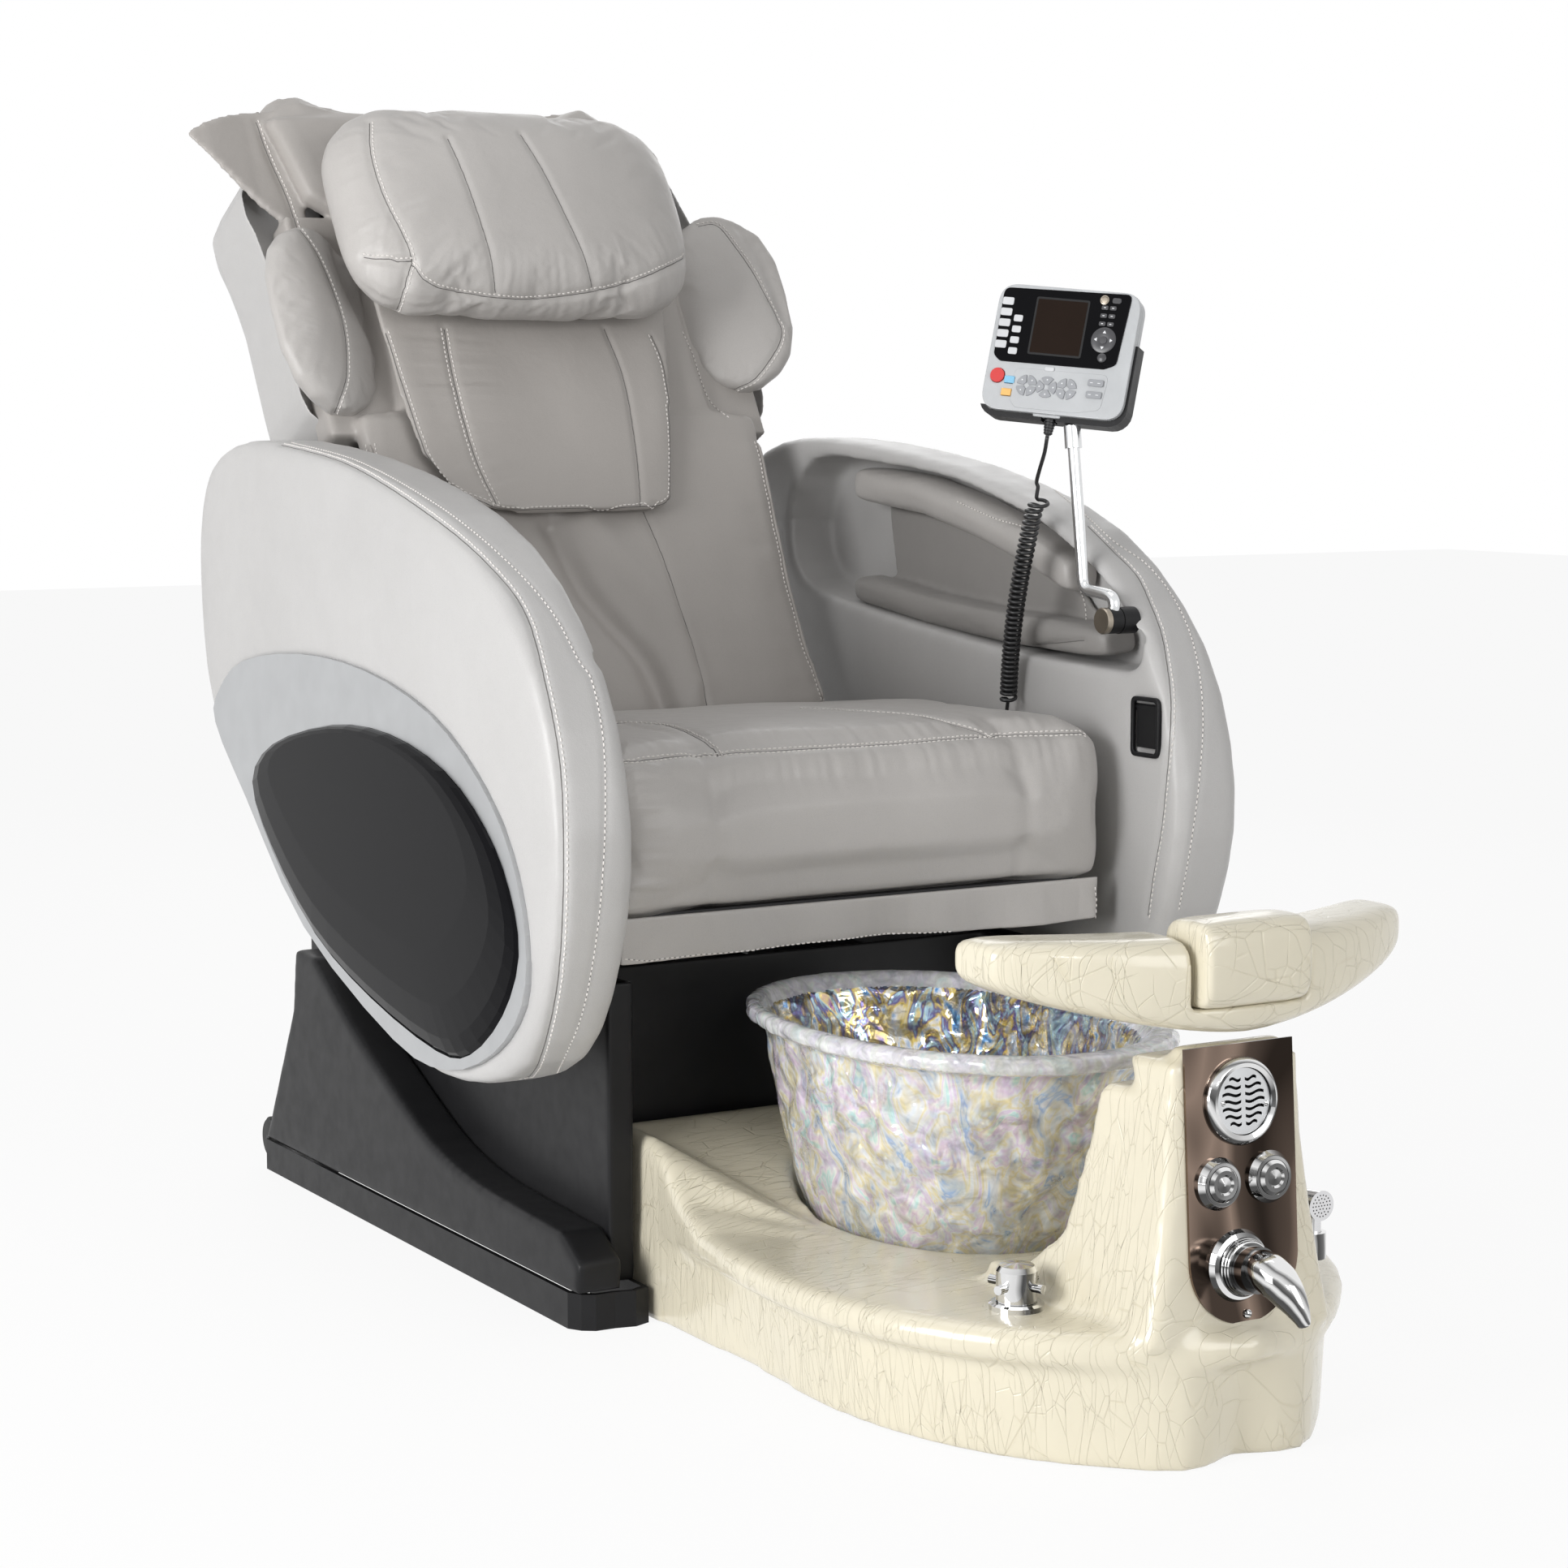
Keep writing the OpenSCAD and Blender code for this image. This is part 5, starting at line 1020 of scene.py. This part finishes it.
def remote_relief():
    """The ringed strain relief that the lead leaves the case by."""
    drop = REMOTE @ Matrix.Translation((RELIEF_X, 0, 0)) @ Matrix.Rotation(math.pi, 4, "X")
    profile = [(0, -1), (7.8, -1), (7.8, 1.5)]
    for k in range(6):
        r, at = RELIEF_R - RELIEF_TAPER * k, RELIEF_PITCH * k
        profile += [(r, 2.0 + at), (r, 4.0 + at), (r - 1.1, 4.3 + at), (r - 1.1, 5.0 + at)]
    lathe("remote_strain_relief", profile + [(2.5, 22.0), (0, 22.0)], (0, 0), drop, JACKET, "remote", 32)


def make_remote():
    remote_shells()
    remote_face()
    remote_round_keys()
    remote_flat_keys()
    for k, at in enumerate(FIGURES):
        remote_figure(k, *at)
    remote_ribs()
    remote_relief()


make_remote()
for name, width in (("remote_holder", 0.0014), ("key_red", 0.0012), ("key_blue", 0.0008), ("key_amber",
    0.0008), ("base_skirt", 0.002), ("spray_holder", 0.002), ("latch_paddle", 0.001)):
    bevel = modify(NODES[name], "BEVEL", width=width, segments=3, limit_method="ANGLE")
    bevel.angle_limit = math.radians(40)

# ---------------------------------------------------------- pole of the remote

HUB = np.array((0.326, -0.498, 0.747))
POLE_R = 0.007
POLE_LINE = [HUB + (0.001, -0.002, 0.010), HUB + (0.001, -0.003, 0.020), (0.327, -0.4965, 0.7735), (0.327,
    -0.488, 0.7760), (0.327, -0.466, 0.7785), (0.327, -0.4515, 0.7800), (0.327, -0.4430, 0.7850), (0.327,
    -0.4395, 0.7940), (0.327, -0.4360, 0.8200), (0.327, -0.4265, 0.8900), (0.327, -0.4175, 0.9540)]
HUB_FACE = Matrix.Translation(HUB) @ Matrix.Rotation(math.radians(-90), 4, "Y")


def make_pole():
    path = even(spline(POLE_LINE, 8), 0.003)
    points, faces = round_tube(path, np.tile((1.0, 0.0, 0.0), (len(path), 1)), np.full(len(path), POLE_R),
        20)
    stands_for(add_mesh("pole_tube", points, faces, POLISHED, BODY["remote_pole"]), "remote_pole")
    lathe("pole_hub", [(6.5, -7.6), (15, -7.6), (15, 7.6), (6.5, 7.6)], (0, 0), HUB_FACE, SATIN_BLACK,
        BODY["remote_pole"])
    lathe("pole_cap", [(0, 8.4), (15.2, 8.4), (15.2, 13.6), (14, 15), (0, 15.8)], (0, 0), HUB_FACE, BRONZE,
        BODY["pole_bracket"])
    stands_for(lathe("pole_housing",
        [(0, -30), (15.5, -30), (15.5, -8.4), (6.1, -8.2), (6.1, 8.4), (0, 8.4)], (0, 0), HUB_FACE,
        SATIN_BLACK, BODY["pole_bracket"]), "pole_bracket")


make_pole()
holder = NODES["remote_holder"]
holder.data.materials.append(POLISHED)
for face in holder.data.polygons:
    spot = Vector(face.center)
    if (spot - (POLE_TOP + Vector((0, 0, -0.01)))).xy.length < 0.0125 and spot.z < POLE_TOP.z + 0.004:
        face.material_index = 1

# ------------------------------------------------------------- control tower

PANEL_TOP = Vector((0, -1.1423, 0.398))
PANEL = Matrix.Translation(PANEL_TOP) @ Matrix.Rotation(math.radians(-4), 4, "X") @ Matrix.Translation((0,
    -0.003, 0)) @ QUARTER
VENT, VENT_R = (0, -54), 42


def make_tower():
    lathe("vent_rim", [(VENT_R - 10, 0), (VENT_R, 0), (VENT_R, 3), (VENT_R - 2.5, 6.6), (VENT_R - 6, 8.2),
        (VENT_R - 10, 7)], VENT, PANEL, CHROME, "base", 72)
    slots = []
    waves = np.linspace(-1, 1, 17)
    for side in (-1, 1):
        for k in range(-3, 4):
            half = math.sqrt(28 ** 2 - (7 * k) ** 2) - 5
            mid = side * (2.4 + half / 2)
            wavy = [(mid + half / 2 * t, 7 * k + 1.3 * math.sin(math.pi * t) * side) for t in waves]
            line = np.array(wavy) + VENT
            slots.append(np.vstack([line - (0, 1.35), line[::-1] + (0, 1.35)]) * MM)
    stands_for(plate("vent_face", [circle(31.5, *VENT, 64)] + slots, 2.6, 4.4, PANEL, SILVER, "base",
        0.25), "vent_grille")
    plate("vent_back", [circle(31.5, *VENT, 64)], 0.2, 1.2, PANEL, GLOSS_BLACK, "base", 0.2)
    for k, (x, z) in enumerate(((-24, -54), (27, -59))):
        lathe("vent_screw_%d" % k, [(0, 3), (2.6, 3), (2.6, 4.6), (1.6, 5.4), (0, 5.6)], (x, z), PANEL,
            CHROME, "base", 24)
    lathe("panel_screw", [(0, 0), (4.6, 0), (4.2, 1.6), (2.4, 2.8), (0, 3.2)], (1, -256), PANEL, CHROME,
        "base", 32)
    for side in (-1, 1):
        lathe("bezel_step_%d" % (side + 1), [(17.4, 6), (24.6, 0.4), (24.6, 3.2), (22.4, 6.2),
            (20.8, 6.8), (20.2, 9.2), (17.4, 9.4)], (30 * side, -129), PANEL, CHROME, "base", 64)
    for k, (r, out) in enumerate(((27.5, 9.6), (26.2, 12.6), (25.2, 15.6))):
        lathe("valve_band_%d" % k, [(23, out - 1.6), (r, out - 1.2), (r + 0.6, out), (r, out + 1.2),
            (23, out + 1.6)], (-8, -209), PANEL, CHROME, "base", 64)


make_tower()

VALVE = PANEL @ Matrix.Translation((-0.008, -0.209, 0)) @ Matrix.Rotation(math.radians(-15), 4,
    "Z").inverted()
LEVER = [(0, 6, 24), (0, 4, 33), (0, 0, 44), (0, -8, 57), (0, -19, 67), (0, -30, 74), (0, -40, 78), (0,
    -48, 79)]
LEVER_R = (13, 17.5, 19.5, 19, 16, 12, 8.4, 5.2)


def make_lever():
    path = spline(LEVER, 5)
    radii = np.interp(np.linspace(0, len(LEVER) - 1, len(path)), range(len(LEVER)), LEVER_R)
    radii[0], radii[-1] = 6, 2.2
    world = np.array([VALVE @ Vector(p * MM) for p in path])
    up = np.tile(np.array(VALVE.to_3x3() @ Vector((1, 0, 0))), (len(path), 1))
    stands_for(add_mesh("valve_lever_form", *round_tube(world, up, radii * MM, 32), CHROME,
        "valve_lever"), "valve_lever")


make_lever()
head = NODES["spray_head"]
head.data.materials.append(STEEL)
for face in head.data.polygons:
    if face.normal.y < -0.9:
        face.material_index = 1
SPRAY_FACE = Matrix.Translation((0.134, -1.1095, 0.218)) @ QUARTER
holes = Heap()
for ring, count in ((0, 1), (3.6, 6), (7.2, 12), (10.6, 18)):
    for k in range(count):
        turn = 2 * math.pi * k / count
        spot = np.array(SPRAY_FACE @ Vector((ring * MM * math.cos(turn), ring * MM * math.sin(turn), 0)))
        path = spot + np.outer((0, -0.0006, -0.0009), (0, 1, 0))
        holes.add(*round_tube(path, np.tile((0.0, 0.0, 1.0), (3, 1)), np.array((0.0008, 0.0008, 0.0003)),
            8))
holes.piece("spray_nozzles", RUBBER, BODY["spray_head"])

# -------------------------------------------------------------------- bowl


def make_bowl():
    obj = reshaped("bowl", "bowl_glass", voxel=0.0032, rounds=3)
    points = coords(obj)
    centre = (points.min(0) + points.max(0)) / 2
    out = points - centre
    out[:, 2] = 0
    away = np.linalg.norm(out, axis=1, keepdims=True)
    out = out / np.maximum(away, 1e-6)
    height = (points[:, 2] - points[:, 2].min()) / np.ptp(points[:, 2])
    ripple = np.array([noise.noise(Vector(p) * 36 + Vector((p[2] * 14, 0, 0))) for p in points])
    fade = np.clip((height - 0.06) * 6, 0, 1) * np.clip((1.02 - height) * 9, 0.25, 1)
    set_coords(obj, points + out * (0.0052 * ripple * fade - 0.0020 * fade)[:, None])
    for look in (INNER_GLASS, RIM_GLASS):
        obj.data.materials.append(look)
    facing = np.empty(len(obj.data.polygons) * 3)
    place = facing.copy()
    obj.data.polygons.foreach_get("normal", facing)
    obj.data.polygons.foreach_get("center", place)
    facing, place = facing.reshape(-1, 3), place.reshape(-1, 3)
    inward = ((place - centre)[:, :2] * facing[:, :2]).sum(1) < 0
    inward |= facing[:, 2] > 0.6
    rim = place[:, 2] > points[:, 2].max() - 0.017
    obj.data.polygons.foreach_set("material_index", np.where(rim, 2,
        np.where(inward, 1, 0)).astype(np.int32))
    obj.data.shade_smooth()


make_bowl()

# -------------------------------------------------------- base, tub and shells

for side in ("right", "left"):
    reshaped("base_cover_" + side, "base_cover_form_" + side, voxel=0.003, rounds=24)
reshaped("base_inner_cover", "base_inner_form", voxel=0.0032, rounds=8)


def joined(node, name, extra, voxel, rounds, cutters=()):
    """A reshaped CAD node with more volume grown on it, and some cut off, before it is smoothed."""
    obj = bpy.data.objects.new(name, NODES[node].data.copy())
    bpy.context.scene.collection.objects.link(obj)
    mesh = bmesh.new()
    mesh.from_mesh(obj.data)
    for points, faces in extra:
        verts = [mesh.verts.new(p) for p in points]
        for face in faces:
            mesh.faces.new([verts[k] for k in face])
    mesh.to_mesh(obj.data)
    mesh.free()
    modify(obj, "REMESH", mode="VOXEL", voxel_size=voxel)
    tools = []
    for points, faces in cutters:
        tool = draft(name + "_cutter", points, faces)
        modify(obj, "BOOLEAN", operation="DIFFERENCE", object=tool, solver="EXACT")
        tools.append(tool)
    if cutters:
        modify(obj, "REMESH", mode="VOXEL", voxel_size=voxel)
    modify(obj, "SMOOTH", factor=0.5, iterations=rounds)
    bake(obj)
    for tool in tools:
        bpy.data.objects.remove(tool)
    wear(obj, NODES[node].data.materials[0])
    obj.data.shade_smooth()
    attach(obj, BODY[node])
    return stands_for(obj, node)


TOWER_Y, TOWER_TOP, TOWER_REAR, DECK = -1.142, 0.398, -0.926, 0.132
TOWER_HALF = 0.080


def tower_ring(z, grow):
    """Plan of the control tower at height z."""
    front = TOWER_Y - (TOWER_TOP - z) * math.tan(math.radians(4))
    w = TOWER_HALF + grow
    half = [(w - 0.012, front), (w - 0.003, front + 0.004), (w, front + 0.014), (w + 0.004, front + 0.085),
        (w + 0.014, TOWER_REAR - 0.008), (w + 0.008, TOWER_REAR + 0.03), (w - 0.014, TOWER_REAR + 0.03)]
    outline = half + [(-x, y) for x, y in half[::-1]]
    return np.array([(x, y, z) for x, y in outline])


def flare(z):
    return 0.030 * max(0.0, 1 - (z - DECK) / 0.215) ** 1.5


levels = np.linspace(DECK - 0.01, 0.345, 12)
BEHIND = [(-1.118, 0.42), (-1.116, 0.388), (-1.075, 0.384), (-1.050, 0.372), (-1.035, 0.32), (-1.008, 0.20),
    (-0.955, 0.155), (-0.85, 0.145), (-0.85, 0.42)]
SHOULDER = [(-1.3, 0.384), (-0.84, 0.384), (-0.84, 0.425), (-1.3, 0.425)]


def prism(outline, first, last):
    """A prism along x between two stations, from an outline of (y, z)."""
    points, faces = ring_strip([np.array([(x, y, z) for y, z in outline]) for x in (first, last)])
    shape = bmesh.new()
    verts = [shape.verts.new(p) for p in points]
    for face in faces:
        shape.faces.new([verts[k] for k in face])
    bmesh.ops.recalc_face_normals(shape, faces=shape.faces)
    shape.verts.index_update()
    outward = [[v.index for v in face.verts] for face in shape.faces]
    shape.free()
    return points, outward


joined("tub_shell", "tub_body", [ring_strip([tower_ring(z, flare(z) - 0.001) for z in levels])], 0.0045, 14,
    [prism(BEHIND, -0.2, 0.2), prism(SHOULDER, 0.061, 0.2), prism(SHOULDER, -0.2, -0.061)])

REST_SHIFT = Vector((0, -0.020, 0.008))


REST_HALF, REST_ASIDE, REST_SIDES = 0.244, 0.004, 28


def rest_section(x, half_width=REST_HALF):
    """Section of the footrest board at x, blunt at its ends."""
    t = abs(x) / half_width
    end = max(1 - t ** 14, 0.0) ** 0.5
    front = -1.150 + 0.078 * t * t
    depth = 0.104 - 0.026 * t
    low, high = 0.400 + 0.050 * t ** 1.5, 0.494 + 0.004 * t
    turn = np.arange(REST_SIDES) * 2 * math.pi / REST_SIDES
    y = np.sign(np.cos(turn)) * np.sqrt(np.abs(np.cos(turn))) * depth / 2 * (0.72 + 0.28 * end)
    z = np.sign(np.sin(turn)) * np.sqrt(np.abs(np.sin(turn))) * (high - low) / 2 * (0.60 + 0.40 * end)
    return np.stack([np.full(REST_SIDES, x + REST_ASIDE), front + depth / 2 + y, (low + high) / 2 + z],
        1) + np.array(REST_SHIFT)


PAD_NOTCH, PAD_NOTCH_SIZE = (0, -1.13, 0.478), (0.136, 0.13, 0.08)       # where the middle pad lies


def make_rest():
    shares = -np.cos(np.linspace(0, math.pi, 41))
    points, faces = ring_strip([rest_section(REST_HALF * t) for t in shares])
    board = draft("footrest_body", points, faces)
    cutter = draft("rest_cutter", *block(Matrix.Translation(PAD_NOTCH), PAD_NOTCH_SIZE))
    modify(board, "BOOLEAN", operation="DIFFERENCE", object=cutter, solver="EXACT")
    modify(board, "REMESH", mode="VOXEL", voxel_size=0.0032)
    modify(board, "SMOOTH", factor=0.5, iterations=6)
    bake(board)
    bpy.data.objects.remove(cutter)
    wear(board, CREAM)
    board.data.shade_smooth()
    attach(board, BODY["footrest_board"])
    stands_for(board, "footrest_board")
    pad = reshaped("footrest_pad", "footrest_cushion", voxel=0.003, rounds=8)
    set_coords(pad, coords(pad) + np.array(REST_SHIFT))


make_rest()

LATCH = (-0.539, 0.627)
LATCH_FACE = Matrix(((0, 0, -1, 0.345), (-1, 0, 0, LATCH[0]), (0, 1, 0, LATCH[1]), (0, 0, 0, 1)))
plate("latch_bezel", [corners(box(52, 69), 9, 6), corners(box(42, 59), 6, 6)], -3, 2.2, LATCH_FACE,
    SATIN_BLACK, BODY["arm_shell_left"], 1.2, 3)

# ------------------------------------------------------- covers and their seams


def cushion(node, name, voxel, rounds, pressure, cap):
    obj = reshaped(node, name, voxel, rounds)
    inflate(obj, pressure, cap)
    finer(obj)
    return Cover(obj, BODY[node])


SEAT = cushion("seat_cushion", "seat_cushion_cover", voxel=0.006, rounds=6, pressure=3.0, cap=0.008)
SEAT.ruffle(0.0026, 8)
SEAT_SEAMS = {
    "top edge of the front": ("double", [(752, 935), (885, 927), (1090, 915), (1220, 905), (1340, 901)]),
    "left end of the middle panel": ("single", [(751, 889), (790, 889), (830, 894), (865, 910),
        (885, 927)]),
    "right end of the middle panel": ("single", [(985, 871), (1065, 875), (1140, 882), (1220, 905)]),
    "corner at the arm": ("single", [(1340, 902), (1360, 920), (1367, 965), (1372, 1015), (1375, 1065)]),
    "gathers at the left": ("gathered", [(752, 935), (757, 1015), (760, 1080), (755, 1135)]),
}
sew(SEAT, "seat", SEAT_SEAMS, LEATHER)
PILLOW = cushion("pillow", "pillow_cover", voxel=0.005, rounds=6, pressure=3.0, cap=0.008)
PILLOW.ruffle(0.0030, 9)
PILLOW_SEAMS = {
    "end panel": ("single", [(455, 150), (457, 190), (472, 240), (497, 290), (507, 320), (502, 340),
        (492, 375), (485, 390)]),
    "corner of the end panel": ("single", [(447, 317), (475, 320), (507, 322)]),
    "lower edge": ("single", [(507, 325), (530, 350), (570, 362), (645, 370), (720, 362), (780, 347),
        (820, 330), (850, 315)]),
    "left channel": ("seam", [(552, 170), (570, 210), (590, 265), (605, 315), (611, 362)]),
    "right channel": ("seam", [(642, 165), (670, 210), (700, 270), (720, 315), (731, 355)]),
}
sew(PILLOW, "pillow", PILLOW_SEAMS, LEATHER)
BACK_TURN = Matrix.Translation((0, 0.110, 0.500)) @ Matrix.Rotation(math.radians(-28), 4, "X")
LINER_SIZE = (0.132, 0.048, 0.310)
LINER_Y, LINER_Z = -0.072, 0.620


def liner(x):
    """Soft leather lining between the back pad and a wing, over the frame."""
    return block(BACK_TURN @ Matrix.Translation((x, LINER_Y, LINER_Z)), LINER_SIZE)


BACK = Cover(joined("back_pad", "back_pad_cover", [liner(-0.250), liner(0.238)], voxel=0.0036, rounds=5),
    BODY["back_pad"])
BACK.ruffle(0.0045, 7, (1, 1, 0.6))
BACK.ruffle(0.0014, 20, (1, 1, 0.5))
BACK_SEAMS = {
    "border at +x": ("piped", outer_edge(BACK, BACK_TURN, 1, 0.07, 0.445)),
    "border at -x": ("piped", outer_edge(BACK, BACK_TURN, -1, 0.07, 0.445)),
    "notch below the wing": ("row", [(842, 410), (855, 440), (868, 480), (880, 500), (897, 513)]),
    "long seam": ("seam", [(793, 630), (820, 693), (847, 780), (873, 877)]),
    "long fold": ("deep", [(683, 650), (718, 719), (752, 762), (796, 814), (822, 874)]),
    "roll beside the fold": ("swell", [(727, 641), (765, 690), (804, 736), (835, 790), (856, 840)]),
    "roll behind the fold": ("swell", [(660, 700), (690, 770), (725, 840)]),
    "outer lapel": ("plain", [(236, 178), (262, 206), (300, 243), (335, 280)]),
    "inner lapel": ("plain", [(316, 150), (330, 190), (352, 240), (368, 285)]),
}
sew(BACK, "back", BACK_SEAMS, LEATHER_BACK_PAINTED_SHADE)
FLAP = cushion("neck_flap", "neck_flap_cover", voxel=0.004, rounds=2, pressure=0.5, cap=0.003)
FLAP.ruffle(0.0045, 9, (1, 1, 0.7))
FLAP_SEAMS = {
    "border": ("plain", [(475, 410), (502, 492), (530, 570), (560, 602), (600, 620), (627, 632),
        (715, 631), (807, 627), (833, 607), (840, 580), (838, 550), (827, 500), (817, 447), (803, 413)]),
    "first seam": ("double", [(548, 405), (560, 470), (585, 560), (612, 620)]),
    "second seam": ("seam", [(745, 405), (770, 470), (785, 560), (790, 622)]),
}
sew(FLAP, "neck_flap", FLAP_SEAMS, LEATHER)
SKIRT_FLAP = cushion("seat_flap", "seat_flap_cover", voxel=0.002, rounds=1, pressure=0.2, cap=0.001)
hang = 1 - (SKIRT_FLAP.points[:, 2] - SKIRT_FLAP.points[:, 2].min()) / np.ptp(SKIRT_FLAP.points[:, 2])
wave = np.sin(SKIRT_FLAP.points[:, 0] * 19) + 0.6 * np.sin(SKIRT_FLAP.points[:, 0] * 43 + 1)
SKIRT_FLAP.points[:, 1] += 0.0022 * wave * hang
SKIRT_FLAP.points[:, 2] += 0.0025 * np.sin(SKIRT_FLAP.points[:, 0] * 13 + 2) * hang
SKIRT_FLAP.refresh()
SKIRT_FLAP_SEAMS = {
    "hem": ("row", [(762, 1140), (772, 1182), (990, 1177), (1177, 1162)]),
    "short side": ("row", [(1350, 1095), (1354, 1135)]),
}
sew(SKIRT_FLAP, "seat_flap", SKIRT_FLAP_SEAMS, LEATHER)

RIM_PLACE, RIM_SIZE = (-0.395, -0.53, 0.757), (0.14, 0.12, 0.09)


def rim_piece():
    """The front rim of the other arm, mirrored: it closes this arm's rim in front of the pole's housing."""
    whole = bpy.data.objects.new("rim_draft", NODES["arm_shell_right"].data.copy())
    bpy.context.scene.collection.objects.link(whole)
    keep = draft("rim_keep", *block(Matrix.Translation(RIM_PLACE), RIM_SIZE))
    modify(whole, "BOOLEAN", operation="INTERSECT", object=keep, solver="EXACT")
    bake(whole)
    points = coords(whole) * (-1, 1, 1)
    faces = [tuple(face.vertices)[::-1] for face in whole.data.polygons]
    bpy.data.objects.remove(whole)
    bpy.data.objects.remove(keep)
    return points, faces


WING_SEAMS = {
    "right": {
        "rim": ("plain", [(370, 282), (390, 310), (410, 355), (425, 405), (428, 460), (420, 490),
            (412, 510)]),
        "fold": ("fold", [(407, 275), (420, 325), (440, 375), (465, 430), (470, 470), (455, 505)]),
    },
    "left": {
        "fold": ("fold", [(913, 280), (933, 307), (947, 333), (967, 390)]),
        "rim": ("plain", [(860, 278), (883, 277), (905, 302), (928, 335), (945, 365), (960, 392),
            (962, 420), (935, 462), (911, 478), (882, 490)]),
    },
}
ARMREST_SEAMS = {
    "right": {},
    "left": {
        "front edge": ("row", [(1180, 618), (1222, 637), (1257, 647)]),
    },
}
AIRBAG_SEAMS = {
    "right": {},
    "left": {
        "top edge": ("row", [(1180, 643), (1218, 662), (1257, 678), (1291, 683), (1318, 705),
            (1334, 735), (1338, 762)]),
        "lower seam": ("seam", [(1180, 781), (1249, 797), (1334, 789)]),
    },
}
ARM_SEAMS = {
    "right": {
        "edge of the face": ("plain", [(347, 547), (433, 573), (533, 637), (600, 693), (647, 753),
            (672, 840), (690, 940), (694, 1040), (692, 1150), (684, 1233), (664, 1311), (642, 1336)]),
        "row on the rim": ("row", [(360, 545), (447, 570), (547, 627), (627, 693), (680, 753),
            (713, 813), (730, 840), (744, 915), (746, 1015), (740, 1115), (729, 1197), (714, 1261),
            (687, 1322)]),
    },
    "left": {
        "edge of the face": ("plain", [(1341, 647), (1372, 678), (1401, 708), (1418, 743), (1432, 781),
            (1440, 828), (1443, 866), (1441, 905), (1436, 962), (1430, 1020), (1420, 1078),
            (1413, 1128)]),
        "row on the rim": ("row", [(1218, 562), (1284, 593), (1334, 631), (1372, 666), (1411, 693),
            (1441, 728), (1463, 770), (1476, 816), (1482, 866), (1482, 912), (1476, 981), (1466, 1051),
            (1453, 1120)]),
    },
}
for side in ("right", "left"):
    sew(cushion("wing_pad_" + side, "wing_cover_" + side, voxel=0.004, rounds=5, pressure=3.0, cap=0.006), "wing_" + side, WING_SEAMS[side], LEATHER)
    sew(cushion("arm_upper_pad_" + side, "armrest_cover_" + side, voxel=0.004, rounds=4, pressure=3.0,
        cap=0.004), "armrest_" + side, ARMREST_SEAMS[side], LEATHER)
    sew(cushion("arm_airbag_" + side, "airbag_cover_" + side, voxel=0.004, rounds=4, pressure=2.0,
        cap=0.003), "airbag_" + side, AIRBAG_SEAMS[side], LEATHER_PAINTED_SHADE)
    rim = [rim_piece()] if side == "left" else []
    arm = Cover(finer(joined("arm_shell_" + side, "arm_cover_" + side, rim, voxel=0.006, rounds=8)),
        BODY["arm_shell_" + side])
    sew(arm, "arm_" + side, ARM_SEAMS[side], LEATHER_SHELL_PAINTED_LIGHT)
reshaped("back_shell", "back_shell_cover", voxel=0.003, rounds=22)
